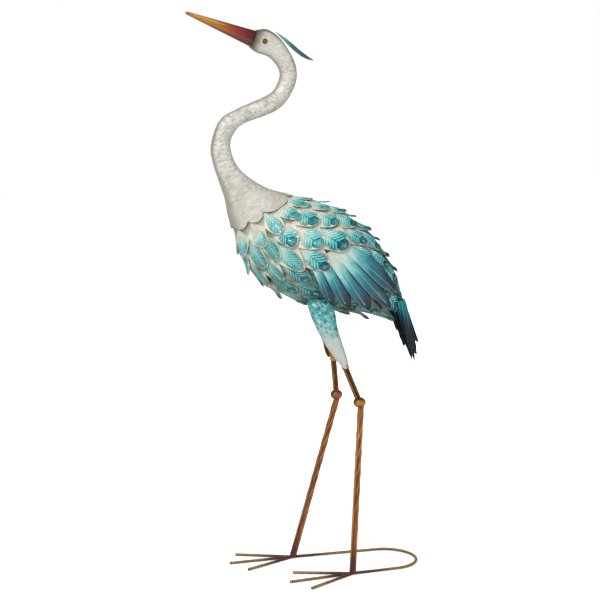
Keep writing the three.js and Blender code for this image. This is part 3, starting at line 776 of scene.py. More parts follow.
# %% [markdown]
# ## Eyes
# Each eye is a small domed bead with a dark pupil, a golden iris and a clear gloss. The bead is a sphere
# primitive, pressed flat in edit mode, and its rings are painted by the distance from its middle, as seen
# from the side.

# %% Eye paint
EYE_RADIUS = 4.8
FROM_THE_SIDE = (1.0, 0.2, 1.0)


def pressed_ball(name, middle, radius, pressed, segments, rings):
    """A ball in the frame's metres. What it is pressed to is a share of its size for x, y and z."""
    deselect()
    bpy.ops.mesh.primitive_uv_sphere_add(segments=segments, ring_count=rings, radius=radius, location=middle)
    ball = bpy.context.object
    ball.name = name
    edit(ball)
    bpy.ops.transform.resize(value=pressed, center_override=middle)
    leave_edit()
    bpy.ops.object.transform_apply(location=True, rotation=True, scale=True)
    shade(ball, 80)
    return ball


eye_paint, tree, shader, place = finish("eye_paint", 0.25, 0.0, 0.3, 0.08, specular=0.3)
place = node(tree, "ShaderNodeVectorMath", {0: place, 1: FROM_THE_SIDE}, "Vector", operation="MULTIPLY")
middles = []
for side in (-1, 1):
    low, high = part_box("eye_left" if side < 0 else "eye_right")
    middles.append((low + high) / 2 * Vector(FROM_THE_SIDE))
rings = smaller(*(distance(place, middle) for middle in middles)) / (EYE_RADIUS * MM)
iris = ramp(rings, (0.0, 26, 14, 6), (0.3, 40, 24, 8), (0.42, 150, 104, 26), (0.66, 118, 76, 18),
            (0.78, 40, 24, 10), (1.0, 20, 12, 6))
link(iris, shader, "Base Color")

# %% Eye beads
for name in ("left", "right"):
    low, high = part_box(f"eye_{name}")
    seat = Vector(((low.x + high.x) / 2, high.y if name == "left" else low.y, (low.z + high.z) / 2))
    pressed = (1, (high.y - low.y) / (EYE_RADIUS * MM), 1)
    eye = pressed_ball(f"eye_bead_{name}", seat, EYE_RADIUS * MM, pressed, 40, 24)
    dress(eye, eye_paint, "eye_gloss", f"eye_{name}")

# %% [markdown]
# ## Crest
# The crest is one thin leaf of sheet with a midrib, fixed at the back of the head and standing clear of it.
# Its two edges come from the drawing, and the leaf is bent a little across, as a pressed leaf is.

# %% Crest
CREST_UPPER = [[-42, 1009.2], [-26, 1000], [-9, 987.5], [3, 977.5], [14, 969.5], [31, 958]]
CREST_LOWER = [[-38, 1006], [-26, 994], [-15, 983.5], [-4, 974], [8, 965.5], [19.5, 960.5], [31, 958]]
CREST_SHEET = 1.0
CREST_DISH = 1.1
CREST_ASIDE = 0.3

crest, across, along = flat_grid("crest_leaf", 12, 60)
upper = spline(CREST_UPPER, along * (len(CREST_UPPER) - 1))
lower = spline(CREST_LOWER, along * (len(CREST_LOWER) - 1))
flat = upper + (lower - upper) * across[:, None]
from_rib = np.abs(across * 2 - 1)
proud = CREST_DISH * (1 - from_rib ** 1.5) * np.sin(math.pi * along) ** 0.5
set_vertices(crest, to_frame(np.stack([flat[:, 0], CREST_ASIDE - proud, flat[:, 1]], axis=-1)))
mark(crest, along=along, from_rib=from_rib)
turn_outwards(crest, to_frame([0.0, 60.0, 985.0]))
apply_modifier(crest, "SOLIDIFY", thickness=CREST_SHEET * MM, offset=0)
weld_seams(crest, 0.05)
shade(crest, 50)

# %% Crest paint
crest_paint, tree, shader, place = finish("crest_paint", 0.35, 0.1, 0.3, 0.2)
grain = noise(place, 300.0, 2.0)
blend = kept(tree, "along") + (grain - 0.5) * 0.3
tone = ramp(blend, (0.0, 120, 160, 152), (0.18, 96, 168, 158), (0.3, 50, 128, 124), (0.4, 18, 66, 74),
            (0.56, 26, 80, 84), (0.78, 10, 42, 50), (1.0, 6, 24, 32))
# A painted highlight along the midrib.
tone = covered(tone, (96, 150, 146), between(kept(tree, "from_rib"), 0.45, 0.1) * 0.4)
link(tone, shader, "Base Color")
brushed(shader, place, 400.0, 0.15, 0.0008)
dress(crest, crest_paint, "crest_paint", "crest_plume")

# %% [markdown]
# ## The stamped feather
# The body feathers come from two dies: a broad leaf with fat barbs that ends in a smooth round eye, and a
# slim one with fine barbs and a pale midrib for the chest. Each die is modelled once, flat, with its
# relief, and each copy is bent over the body. Across runs from -1 to 1 and along from 0 to 1, so one die
# serves wide and narrow places.

# %% The dies' relief
FEATHER_COLUMNS = 30
FEATHER_STEPS = 57
FEATHER_NOTCH = 0.45
FEATHER_POINT = 2.2
FEATHER_LENGTH = 60.0
FEATHER_HALF_WIDTH = 22.0
BARB_ROOTS = (0.0, 7.0, 14.0, 21.0, 28.0, 36.0, 45.0, 53.0)
BARB_REACHES = (0.42, 0.62, 0.82, 0.96, 1.0, 0.88, 0.64, 0.25)
BARB_HEIGHT = 1.9
BARB_HALF_WIDTH = 0.43
BARB_TIP = 0.45
MIDRIB_HEIGHT = 0.9
LEAF_HEIGHT = 0.3
EYE_MIDDLE = 51.0
EYE_HALF_LENGTH = 7.4
EYE_HEIGHT = 3.4
RIM_WIDTH = 0.8
LEAF_END = 58.0
SHADOW_UNDER_TIP = 5.0
ROW_PITCH = 0.97
FEATHER_SPAN = 1.55


def feather_die(name, pitch, slant, widest, eye_half_width, pale_rib):
    """A flat feather with its relief. Lengths are in millimetres on a feather of the usual size.
    Without an eye its barbs go on to the tip."""
    die, across, along = flat_grid(name, FEATHER_COLUMNS, FEATHER_STEPS)
    side = across * 2 - 1
    hem = 1 - FEATHER_NOTCH * np.abs(side) ** FEATHER_POINT
    reach = along * hem
    out, up = np.abs(side) * FEATHER_HALF_WIDTH, reach * FEATHER_LENGTH
    start = up - slant * out
    barb_length = widest * np.interp(start, BARB_ROOTS, BARB_REACHES)
    barb_length = np.minimum(barb_length, np.maximum(LEAF_END - start, 0.5))
    off = start / pitch - np.floor(start / pitch) - 0.5
    past = out / barb_length
    leaf_end = EYE_MIDDLE - 1.0 if eye_half_width else LEAF_END + 2.0
    before_eye = smooth_step(leaf_end, leaf_end - 3.5, up)
    rounded = 1 - (off / BARB_HALF_WIDTH) ** 2 - (np.clip(past - 1 + BARB_TIP, 0, 1) / BARB_TIP) ** 2
    lobe = np.sqrt(np.clip(rounded, 0, 1)) * before_eye
    leaf = smooth_step(1.1, 0.96, past + 0.34 * (off * 2) ** 2) * before_eye
    eye_size = (eye_half_width, EYE_HALF_LENGTH) if eye_half_width else (0.1, 0.1)
    from_eye = np.hypot(out / eye_size[0], (up - EYE_MIDDLE) / eye_size[1])
    eye = smooth_step(1.05, 0.95, from_eye)
    lobe, leaf = lobe * (1 - eye), np.maximum(leaf, eye)
    dome = np.sqrt(np.clip(1 - from_eye ** 2, 0, 1))
    rib = np.exp(-(out / 1.0) ** 2) * before_eye * (1 - eye)
    relief = leaf * LEAF_HEIGHT + BARB_HEIGHT * lobe * (1 - rib) + EYE_HEIGHT * dome
    relief += pale_rib * MIDRIB_HEIGHT * rib
    set_vertices(die, np.stack([side, reach, relief], axis=-1))
    # Below where the ring before ends, the under mark gives the band that gets a painted shadow.
    covered_to = 1 - FEATHER_NOTCH * (1 - np.abs(side)) ** FEATHER_POINT - ROW_PITCH / FEATHER_SPAN
    mark(die, leaf=leaf, barb=lobe * (1 - rib), eye=eye, moat=np.exp(-((from_eye - 1.03) / 0.12) ** 2),
         dome=dome, rib=pale_rib * rib, reach=reach,
         rim=smooth_step(RIM_WIDTH, 0.0, (hem - reach) * FEATHER_LENGTH),
         under=smooth_step(SHADOW_UNDER_TIP, 0.0, (reach - covered_to) * FEATHER_LENGTH))
    print(name, "has", len(die.data.polygons), "faces and relief up to", round(float(relief.max()), 2), "mm")
    return die


broad_die = feather_die("broad_die", 5.6, 0.9, 17.0, 9.4, 0.0)
slim_die = feather_die("slim_die", 4.8, 1.0, 14.5, 0.0, 1.0)

# %% [markdown]
# The paint follows the die. The margin is a greenish cream with a thin broken brown cut edge, the barbs are
# pale on their ridges and teal in their grooves, and the eye near the tip is a deep teal. The ridges' pale
# paint is also a painted highlight and the grooves' teal is also painted shade. The eye has a painted
# highlight in its middle and painted shade at its edge and in the ring round it. Each feather has a painted
# shadow below the tips of the ring before, and on the dark rear feathers the cut edge has painted shade. The
# raised leaf is glossier than the margin. Each feather also keeps a tone of its own, so that the neck's
# feathers are pale and the rump's are dark.

# %% Feather paint
feather_paint, tree, shader, place = finish("feather_paint", 0.38, 0.05, 0.3, 0.12, specular=0.35)
tone = kept(tree, "tone")
reach = kept(tree, "reach")
patches = noise(place, 42.0, 4.0)
blotches = noise(place, 19.0, 2.0)
grain = noise(place, 230.0, 3.0)
cream = clouded(place, 80.0, (230, 224, 208), (206, 202, 178))
cream = covered(cream, (164, 208, 200), between(blotches, 0.44, 0.62) * 0.6)
cream = covered(cream, (16, 88, 90), between(tone, 0.36, 0.7) * 0.9)
muddy = kept(tree, "muddy")
cream = covered(cream, (112, 116, 84), muddy * between(patches, 0.35, 0.6))
depth = (reach - 0.28) * 0.9 + tone * 0.6 + (patches - 0.5) * 0.9
# Pale ridges and teal grooves are the barbs' paint, and they also paint a highlight on the ridges and shade
# in the grooves.
ridge = ramp(depth, (0.1, 220, 228, 216), (0.28, 188, 230, 222), (0.48, 134, 216, 212),
             (0.75, 88, 202, 202), (1.0, 50, 172, 176))
groove = ramp(depth, (0.14, 194, 208, 194), (0.32, 138, 196, 188), (0.48, 38, 148, 152),
              (0.7, 0, 94, 104), (0.94, 0, 34, 46))
leaf_colour = covered(groove, ridge, between(kept(tree, "barb"), 0.4, 0.88))
leaf_colour = covered(leaf_colour, (70, 110, 96), muddy * 0.45)
leaf_colour = covered(leaf_colour, (176, 214, 206), kept(tree, "rib") * 0.8)
eye_depth = tone * 0.8 + patches * 0.7
eye_colour = ramp(eye_depth, (0.38, 84, 180, 180), (0.5, 40, 148, 152), (0.64, 2, 106, 114),
                  (0.86, 0, 58, 68))
# The eye gets a painted highlight in its middle and painted shade at its edge.
painted_highlight_in_eye = between(kept(tree, "dome"), 0.72, 0.98) * between(grain, 0.4, 0.62)
eye_colour = covered(eye_colour, (120, 190, 196), painted_highlight_in_eye * 0.6)
eye_colour = covered(eye_colour, (0, 70, 84), between(kept(tree, "dome"), 0.6, 0.2) * 0.4)
leaf_colour = covered(leaf_colour, eye_colour, kept(tree, "eye"))
# The ring round each eye, where it rises from the leaf, gets painted shade.
moat = kept(tree, "moat") * between(depth, 0.2, 0.6)
leaf_colour = covered(leaf_colour, (0, 66, 78), moat * 0.6)
fresh = reach + (patches - 0.5) * 0.6 + tone * 0.2 - between(tone, 0.34, 0.08) * 0.26
shown = kept(tree, "leaf") * between(fresh, 0.04, 0.36)
colour = covered(cream, leaf_colour, shown)
colour = covered(colour, (210, 222, 210), between(grain, 0.6, 0.75) * 0.25)
# A painted shadow darkens each feather just below the tips of the ring before it.
painted_shadow_under_tips = kept(tree, "under") * between(patches, 0.36, 0.56) * (0.3 + tone)
colour = covered(colour, (34, 40, 32), painted_shadow_under_tips)
# Painted shade darkens the cut edge of the darker feathers towards the rump.
rim_shade_on_dark_feathers = kept(tree, "rim") * between(tone, 0.45, 0.7)
colour = covered(colour, (4, 36, 40), rim_shade_on_dark_feathers)
link(rimmed(place, colour, kept(tree, "rim")), shader, "Base Color")
link(0.5 - kept(tree, "leaf") * 0.24, shader, "Roughness")
link(kept(tree, "leaf") * 0.8 - kept(tree, "eye") * 0.4, shader, "Coat Weight")
brushed(shader, place, 240.0, 0.35, 0.001)

# %% [markdown]
# ## Rings of feathers
# Nine rings of feathers cover the body like roof tiles. Each ring starts under the one before it and ends
# above the one after it, and every second ring is shifted by half a feather. A copy of a die is bent to its
# place by moving its vertices, because only a formula lays it on the body exactly; then the ring's copies
# are joined and thickened.

# %% The wing's place, where the feathers beneath stay low
FIRST_TIP = 13.15
CHEST_DELAY = 0.9
DELAY_ROWS = 6
FEATHERS_IN_ROW = (12, 12, 12, 12, 12, 12, 12, 8, 6)
FEATHER_SHEET = 0.7
FEATHER_ROOT_LIFT = -5.7
FEATHER_RISE = 6.0
ROW_UNDER_WING = 4
WING_ROOTS = np.array([[5, 591], [17, 600], [30, 609], [44, 617], [60, 622], [76, 627]], float)
WING_TIPS = np.array([[44, 517], [78, 508], [122, 501], [172, 500], [196, 518]], float)
WING_NOTCH = 0.16
WING_FRONT_SWEEP = 8.0
WING_REAR_BULGE = 15.0
WING_REAR_NORMAL = np.array([0.62, 0.78])


def row_root(row, angle):
    """Section number where a ring's feathers start: later on the chest than on the back."""
    delay = CHEST_DELAY * max(0, 1 - row / DELAY_ROWS)
    return FIRST_TIP + row * ROW_PITCH - FEATHER_SPAN + delay * (1 - np.cos(angle)) / 2


def row_lift(reach):
    """How far a feather stands off the body, from its root to its tip."""
    return FEATHER_ROOT_LIFT + FEATHER_RISE * reach


def on_fan(place, part):
    """The wing's x and z in side view. Place counts its blades from the front, part goes from root to tip."""
    root = spline(WING_ROOTS, place)
    between_tips = np.clip(place - 0.5, 0, len(WING_TIPS) - 1)
    tip = [np.interp(between_tips, range(len(WING_TIPS)), column) for column in WING_TIPS.T]
    tip = np.stack(tip, axis=-1)
    tip[:, 0] -= np.clip(1 - 2 * place, 0, 1) * WING_FRONT_SWEEP
    bulge = WING_REAR_BULGE * np.clip(1 - 2 * (len(WING_TIPS) - place), 0, 1) * 4 * part * (1 - part)
    return root + (tip - root) * part[:, None] + WING_REAR_NORMAL * bulge[:, None]


def inside_outline(x, z, outline):
    """Whether points in side view lie inside a closed outline, counted by the edges that they cross."""
    crossed = np.zeros(len(x), bool)
    for (x1, z1), (x2, z2) in zip(outline, np.roll(outline, -1, axis=0)):
        spans = (z1 > z) != (z2 > z)
        safe = z2 - z1 if z2 != z1 else 1.0
        crossed ^= spans & (x < (x2 - x1) * (z - z1) / safe + x1)
    return crossed


edge_steps = np.linspace(0, 1, 13)
blades_end = float(len(WING_TIPS))
WING_OUTLINE = np.vstack([
    on_fan(np.linspace(0, blades_end, 13), np.zeros(13)),
    on_fan(np.full(13, blades_end), edge_steps),
    on_fan(np.linspace(blades_end, 0, 21), np.ones(21) * 0.97),
    on_fan(np.zeros(13), edge_steps[::-1]),
])
print("the wing's outline has", len(WING_OUTLINE), "points")

# %% [markdown]
# The rings were set by hand, so their feathers aren't evenly spread: the tables below give where the shafts
# really stand, in degrees from the back, and which feathers reach further than the others. Feathers on the
# back and on the belly stand off a little at their tips.

# %% Bend and join the rings
SHAFTS = {
    0: ((0, 15, 45, 75, 105, 135, 165, 180), (0, 13, 39, 71, 99, 127, 160, 180)),
    1: ((0, 30, 60, 90, 120, 150, 180), (0, 27, 62, 99, 121, 142, 180)),
    2: ((0, 15, 45, 75, 105, 135, 165, 180), (0, 15, 47, 82, 114, 139, 166, 180)),
    3: ((0, 30, 60, 90, 120, 150, 180), (0, 27, 68, 97, 123, 145, 180)),
}
LONGER = {(3, 60): 0.15, (3, 90): 0.11, (2, 105): 0.13}
OVER_WING = ((3, 60), (3, 90))
OVER_WING_LIFT = 3.4
CURL = 3.4
SPIKE = 5.5
TIP_SPREAD = 0.04
WIDTH_SPREAD = 0.14
SWING = 0.14
BACK_ZONE = 35.0
BELLY_ZONE = 40.0
BELLY_FROM = 85.0
FRONT_TONE = 0.06
REAR_TONE = 0.62
BACK_TONE = 0.3
BELLY_TONE = 0.2
OWN_TONE = 0.12
TIP_SHARE = 0.45
SLIM_ROWS = 3
SLIM_FROM = 100.0
SEED = 11
random = np.random.default_rng(SEED)


def bend_feather(copy, row, shaft):
    """Lays one flat feather on the body, in its ring. The shaft's angle is in degrees from the back."""
    flat = vertices_of(copy)
    side, reach, relief = flat[:, 0], flat[:, 1], flat[:, 2]
    longer, curled = random.uniform(-1, 1), random.uniform(0.15, 1)
    own_tone = random.uniform(-1, 1) * OWN_TONE
    swung, spread = random.uniform(-1, 1) * SWING, 1 + random.uniform(-1, 1) * WIDTH_SPREAD
    side = np.sign(side) * np.abs(side) ** spread + swung * (1 - side ** 2) * reach ** 2
    degrees = shaft + side * 180 / FEATHERS_IN_ROW[row]
    if row in SHAFTS:
        degrees = np.sign(degrees) * np.interp(np.abs(degrees), *SHAFTS[row])
    angle = np.radians(degrees)
    key = (row, round(abs(shaft)))
    near_shaft = 1 - np.clip(side, -1, 1) ** 2
    stretched = reach * (1 + (TIP_SPREAD * longer + LONGER.get(key, 0)) * near_shaft * reach)
    section = row_root(row, angle) + stretched * FEATHER_SPAN
    ground = skin(section, angle, 0 * section)
    under_wing = (row >= ROW_UNDER_WING) & inside_outline(ground[:, 0], ground[:, 2], WING_OUTLINE)
    to_outline = max(0.0, 1 - abs(shaft) / BACK_ZONE, 1 - (180 - abs(shaft)) / BELLY_ZONE)
    tip = np.clip((reach - 1 + TIP_SHARE) / TIP_SHARE, 0, 1)
    tip_lift = (CURL * curled + SPIKE * to_outline) * tip ** 2
    if key in OVER_WING:
        tip_lift = OVER_WING_LIFT * smooth_step(0.35, 0.75, reach)
    lift = row_lift(stretched) + np.where(under_wing, 0, relief + tip_lift)
    set_vertices(copy, to_frame(skin(section, angle, lift)))
    backwards = (row + 0.6) / len(FEATHERS_IN_ROW)
    back = (1 + math.cos(math.radians(shaft))) / 2
    deeper = BELLY_TONE * smooth_step(BELLY_FROM, 120, abs(shaft)) * smooth_step(-0.5, 1.5, row)
    tone = FRONT_TONE + REAR_TONE * backwards + BACK_TONE * back * backwards + deeper + own_tone
    mark(copy, tone=np.clip(tone, 0, 1),
         muddy=smooth_step(BELLY_FROM, 140, abs(shaft)) * smooth_step(-1.0, 2.5, row))


def feather_ring(row):
    """Copies the right die for each place in a ring, bends the copies and joins them."""
    count = FEATHERS_IN_ROW[row]
    copies = []
    for feather in range(count):
        shaft = (feather - count // 2 + 0.5 * (row % 2 == 0)) / count * 360
        die = slim_die if row < SLIM_ROWS and abs(shaft) > SLIM_FROM else broad_die
        copy = die.copy()
        copy.data = die.data.copy()
        bpy.context.scene.collection.objects.link(copy)
        bend_feather(copy, row, shaft)
        copies.append(copy)
    ring = join(copies, f"feather_ring_{row + 1}")
    weld_seams(ring)
    x, z = section_at(row_root(row, 0.0) + 0.8)[0]
    turn_outwards(ring, to_frame((x, 0, z)))
    thicken(ring, FEATHER_SHEET)
    shade(ring, 50)
    return ring


for row in range(len(FEATHERS_IN_ROW)):
    dress(feather_ring(row), feather_paint, "feather_paint", f"feather_row_{row + 1}")
for die in (broad_die, slim_die):
    bpy.data.objects.remove(die)

# %% [markdown]
# The hull under the feathers stays as the model has it, because it only shows as a dark gap. It gets its
# own dull, dark paint, which also stands in for the shade in these gaps.

# %% Hull paint
hull_paint, tree, shader, place = finish("hull_paint", 0.7)
link(clouded(place, 40.0, (120, 104, 84), (84, 72, 60)), shader, "Base Color")
brushed(shader, place, 90.0, 0.2, 0.001)
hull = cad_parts["body_hull"]
hull.data.materials.clear()
hull.data.materials.append(hull_paint)

# %% [markdown]
# ## Wings
# Each wing is a fan of five long flight feathers. Every feather is a pressed blade with a raised shaft, and
# its front edge lies on the blade before it. Each blade is its own bent grid, and the five are joined into
# one piece.

# %% Wing blades
WING_SHEET = 0.8
WING_LIFT = 1.3
WING_CLEARANCE = 1.1
WING_DRAPE = 0.9
WING_HANG = 0.3
BLADE_COLUMNS = 24
BLADE_STEPS = 72
BLADE_STEP_UP = 2.2
BLADE_OVERLAP = 1.35
DOT_PLACE = 0.885
DOT_HEIGHT = 0.9
SHAFT_FADES = (0.89, 0.86)
SHAFT_HEIGHT = 0.9
SHAFT_WIDTH = 0.035


def on_wing(x, z, lift, hang):
    """Drawing points of the left wing. It lies on the feathers and hangs straight below the widest line."""
    section, cosine = find_on_side(x, z)
    angle = -np.arccos(cosine)
    under = (section - row_root(ROW_UNDER_WING, angle)) / FEATHER_SPAN
    base = np.minimum(WING_LIFT, row_lift(under) + WING_CLEARANCE)
    lying = skin(section, angle, base + lift)
    draped = section_at(section)[2] * (1 - (1 - WING_DRAPE) * (1 - np.sqrt(1 - cosine ** 2)))
    hanging = np.stack([x, -(draped + base + lift), z], axis=-1)
    share = (hang * (cosine < 0))[:, None]
    return lying * (1 - share) + hanging * share


def wing_blade(number):
    """One flight feather, counted from the front."""
    blade, across, along = flat_grid(f"blade_{number}", BLADE_COLUMNS, BLADE_STEPS)
    side = across * 2 - 1
    part = 1 - (1 - along) ** 1.5
    front_taper = np.clip(1 - part ** 6, 0, 1) ** 0.7
    rear_taper = np.clip(1 - part ** 9, 0, 1) ** 0.55
    rear_reach = BLADE_OVERLAP if number < len(WING_TIPS) - 1 else 1.0
    width = np.where(side > 0, rear_reach * rear_taper, front_taper)
    place = np.clip(number + 0.5 + 0.5 * side * width, 0, len(WING_TIPS))
    reach = part * (1 - WING_NOTCH * np.clip(side * width, -1, 1) ** 2 * part)
    flat = on_fan(place, reach)
    shaft = np.exp(-(side * width / SHAFT_WIDTH) ** 2)
    shaft *= smooth_step(0.12, 0.3, part) * smooth_step(*SHAFT_FADES, part)
    dot = np.exp(-((part - DOT_PLACE) / 0.014) ** 2 - (side / 0.1) ** 2)
    vane = 0.5 * (1 - np.abs(side)) * smooth_step(0, 0.3, part)
    step_up = BLADE_STEP_UP * (1 - across) * smooth_step(0.0, 0.3, part)
    lift = WING_SHEET + vane + step_up + SHAFT_HEIGHT * shaft + DOT_HEIGHT * dot
    set_vertices(blade, on_wing(flat[:, 0], flat[:, 1], lift, np.minimum(1, reach / WING_HANG)))
    mark(blade, part=part, side=across, shaft=np.clip(shaft * 0.75 + dot, 0, 1),
         blade=number / (len(WING_TIPS) - 1))
    return blade


# %% Wing paint
wing_paint, tree, shader, place = finish("wing_paint", 0.4, 0.1, 0.15, 0.2, specular=0.3)
part, side_of_blade, blade_number = kept(tree, "part"), kept(tree, "side"), kept(tree, "blade")
streaks = noise(point(side_of_blade * 9.0, part, blade_number * 20.0), 3.0, 5.0)
blotches = noise(place, 60.0, 4.0)
fade = part - 0.02 + (streaks - 0.5) * 0.5 + (blotches - 0.5) * 0.25 + (side_of_blade - 0.4) * 0.25
fade = fade + between(blade_number, 0.5, 1.0) * 0.14 + between(blade_number, 0.45, 0.1) * 0.11
fine = noise(point(side_of_blade * 60.0, part * 3.0, blade_number * 20.0), 1.0, 2.0)
vane = ramp(fade, (0.1, 220, 222, 208), (0.25, 192, 222, 214), (0.38, 122, 196, 196),
            (0.5, 56, 152, 160), (0.62, 32, 116, 132), (0.76, 38, 90, 110), (0.9, 43, 55, 70),
            (1.0, 20, 36, 44))
vane = covered(vane, (140, 196, 198), between(fine, 0.54, 0.68) * 0.4)
vane = covered(vane, (20, 66, 84), between(fine, 0.46, 0.32) * 0.45)
next_edge = between(part, 0.5, 0.85) * 0.11
shadow = between(side_of_blade - next_edge, 0.7, 0.85) * between(part, 0.26, 0.45)
shadow = shadow * between(blade_number, 0.98, 0.8)
vane = covered(vane, (8, 34, 44), shadow * 0.92)
bright = between(side_of_blade, 0.06, 0.01) * between(part, 0.2, 0.4)
vane = covered(vane, (130, 202, 202), bright * 0.7)
# The shaft is painted pale, and the pale paint also stands in for the highlight along it.
vane = covered(vane, (166, 210, 212), kept(tree, "shaft") * 0.75)
link(vane, shader, "Base Color")
barb_place = point(part * 95.0 - abs(side_of_blade - 0.5) * 34.0, 0.0)
waves = {"Vector": barb_place, "Scale": 0.28, "Distortion": 0.6, "Detail": 1.0}
bumped(shader, node(tree, "ShaderNodeTexWave", waves, "Fac", wave_type="BANDS"), 0.4, 0.0006)

# %% Join the wings
for name, mirror in (("left", 1.0), ("right", -1.0)):
    blades = [wing_blade(number) for number in range(len(WING_TIPS))]
    for blade in blades:
        set_vertices(blade, to_frame(vertices_of(blade) * (1.0, mirror, 1.0)))
        turn_outwards(blade, INSIDE)
        thicken(blade, WING_SHEET)
    wing = join(blades, f"wing_fan_{name}")
    weld_seams(wing, 0.005)
    shade(wing, 45)
    dress(wing, wing_paint, "wing_paint", f"wing_{name}")

# %% [markdown]
# ## Tail
# The tail is one sheet bent half round under the rump, fluted along its length and cut into long fingers.
# The grid has many columns to each finger, so that the flutes are round and each finger ends in a soft
# point.

# %% Tail
TAIL_TIPS = np.array([[241, 428], [236, 404], [232, 389], [216, 420], [206, 449]], float)
TAIL_TOP_X = 185.0
TAIL_TOP_Z = 513.0
TAIL_TOP_DEPTH = 25.0
TAIL_TOP_HALF_WIDTH = 34.0
TAIL_TIP_HALF_WIDTH = 7.0
TAIL_NOTCH = 17.0
TAIL_FLUTE = 1.5
TAIL_RIPPLE = 0.4
RIPPLES_IN_FINGER = 3
TAIL_SHEET = 1.0
TAIL_RIM = 0.02
TAIL_COLUMNS = 128
TAIL_ROWS = 56

tail, across, along = flat_grid("tail_fan", TAIL_COLUMNS, TAIL_ROWS)
place = across * 2 - 1
finger = np.abs(place) * (len(TAIL_TIPS) - 1)
before = np.minimum(finger.astype(int), len(TAIL_TIPS) - 2)
hem = TAIL_TIPS[before] + (TAIL_TIPS[before + 1] - TAIL_TIPS[before]) * (finger - before)[:, None]
off_finger = np.abs(finger - np.round(finger)) * 2
notch = TAIL_NOTCH * off_finger ** 1.5
reach = along * (1 - notch / (TAIL_TOP_Z - hem[:, 1]))
fluted = TAIL_FLUTE * (1 - off_finger ** 2) * smooth_step(0.0, 0.12, along)
fluted -= TAIL_RIPPLE * (1 - np.cos(finger * RIPPLES_IN_FINGER * 2 * math.pi))
turn = place * math.pi / 2
lift = fluted + TAIL_SHEET
top_x = TAIL_TOP_X + TAIL_TOP_DEPTH * np.cos(turn)
x = top_x + (hem[:, 0] - top_x) * reach + lift * np.cos(turn)
z = TAIL_TOP_Z + (hem[:, 1] - TAIL_TOP_Z) * reach
narrowed = (TAIL_TOP_Z - z) / (TAIL_TOP_Z - TAIL_TIPS[:, 1].min())
half_width = TAIL_TOP_HALF_WIDTH + (TAIL_TIP_HALF_WIDTH - TAIL_TOP_HALF_WIDTH) * narrowed
set_vertices(tail, to_frame(np.stack([x, (half_width + lift) * np.sin(turn), z], axis=-1)))
mark(tail, along=along, flute=1 - off_finger, finger=finger * np.sign(place),
     rim=smooth_step(TAIL_RIM, 0.0, along))
turn_outwards(tail, to_frame([190.0, 0.0, 470.0]))
thicken(tail, TAIL_SHEET)
shade(tail, 50)

# %% Tail paint
tail_paint, tree, shader, place = finish("tail_paint", 0.36, 0.1, 0.15, 0.2, specular=0.3)
along_tail = kept(tree, "along")
streaks = noise(point(kept(tree, "finger") * 6.0, along_tail * 1.2), 2.5, 3.0)
fade = along_tail + (streaks - 0.5) * 0.5
tone = ramp(fade, (0.0, 10, 152, 154), (0.18, 0, 130, 140), (0.36, 0, 82, 100), (0.5, 10, 34, 50),
            (0.75, 10, 22, 32), (1.0, 8, 14, 20))
light = between(streaks, 0.5, 0.66) * between(along_tail, 0.5, 0.05)
tone = covered(tone, (70, 164, 160), light * 0.5)
tone = covered(tone, (6, 26, 36), between(kept(tree, "flute"), 0.45, 0.1) * 0.7)
link(rimmed(place, tone, kept(tree, "rim")), shader, "Base Color")
brushed(shader, place, 200.0, 0.25, 0.001)
dress(tail, tail_paint, "tail_paint", "tail")

# %% [markdown]
# ## Thighs and sleeves
# Each thigh is a half-round shell, open on the inside, that narrows to the leg. Its rings come from the
# drawing. The outside is painted like small aqua feathers that fade into white, and the inside is bare
# brown primer, so the shell has two finishes: Solidify gives the inner faces the second one.

# %% Thigh sizes
# centre x, y, z, half length along x, and bulge
THIGH_RINGS = np.array([
    [28, -33, 527, 9, 7],
    [30, -36, 518, 22, 18],
    [37, -39, 496, 23.5, 21],
    [43, -42, 472, 20.5, 19],
    [56, -46, 440, 16.8, 15.5],
    [69, -50.5, 413, 11.5, 11],
    [77, -54, 396, 5.5, 6],
])
THIGH_SHEET = 1.4
RIGHT_THIGH_SET_BACK = 21.0
RIGHT_KNEE_SET_BACK = 7.0
SLEEVE_TOP = Vector((64.0, -40.0, 440.0))
SLEEVE_END = Vector((80.0, -46.5, 392.0))
SET_BACK_FROM_Z = 440.0


def set_back(z, mirror):
    """How far behind the left leg's place the right leg's parts lie."""
    if mirror > 0:
        return 0 * z
    part = smooth_step(SLEEVE_END.z, SET_BACK_FROM_Z, z)
    return RIGHT_KNEE_SET_BACK + (RIGHT_THIGH_SET_BACK - RIGHT_KNEE_SET_BACK) * part


# %% Thigh paint
thigh_paint, tree, shader, place = finish("thigh_paint", 0.42, 0.05, 0.25, 0.2)
down_thigh, round_thigh = kept(tree, "along"), kept(tree, "across")
dab_place = point(round_thigh * 11.0 - down_thigh * 3.0, down_thigh * 19.0)
dabs = noise(dab_place, 1.0, 1.5, distortion=0.25)
soft = noise(place, 60.0, 5.0)
fade = down_thigh + (soft - 0.5) * 0.3
tone = ramp(fade, (0.05, 36, 132, 138), (0.2, 62, 158, 160), (0.4, 90, 176, 174),
            (0.54, 146, 186, 180), (0.66, 188, 190, 184), (1.0, 196, 195, 190))
tone = covered(tone, (170, 194, 186), between(soft, 0.5, 0.62) * 0.4)
dab_mask = between(dabs, 0.51, 0.61) * between(fade, 0.64, 0.5)
tone = covered(tone, (4, 100, 112), dab_mask * 0.85)
tone = covered(tone, (188, 218, 208), between(dabs, 0.42, 0.33) * 0.7)
peeled = between(down_thigh, 0.9, 0.94) * between(round_thigh, 0.45, 0.55)
tone = covered(tone, (186, 104, 66), peeled)
spatter = node(tree, "ShaderNodeTexVoronoi", {"Vector": place, "Scale": 260.0}, "Distance")
drops = between(spatter, 0.24, 0.16) * between(fade, 0.78, 0.6)
tone = covered(tone, (92, 176, 180), drops * 0.7)
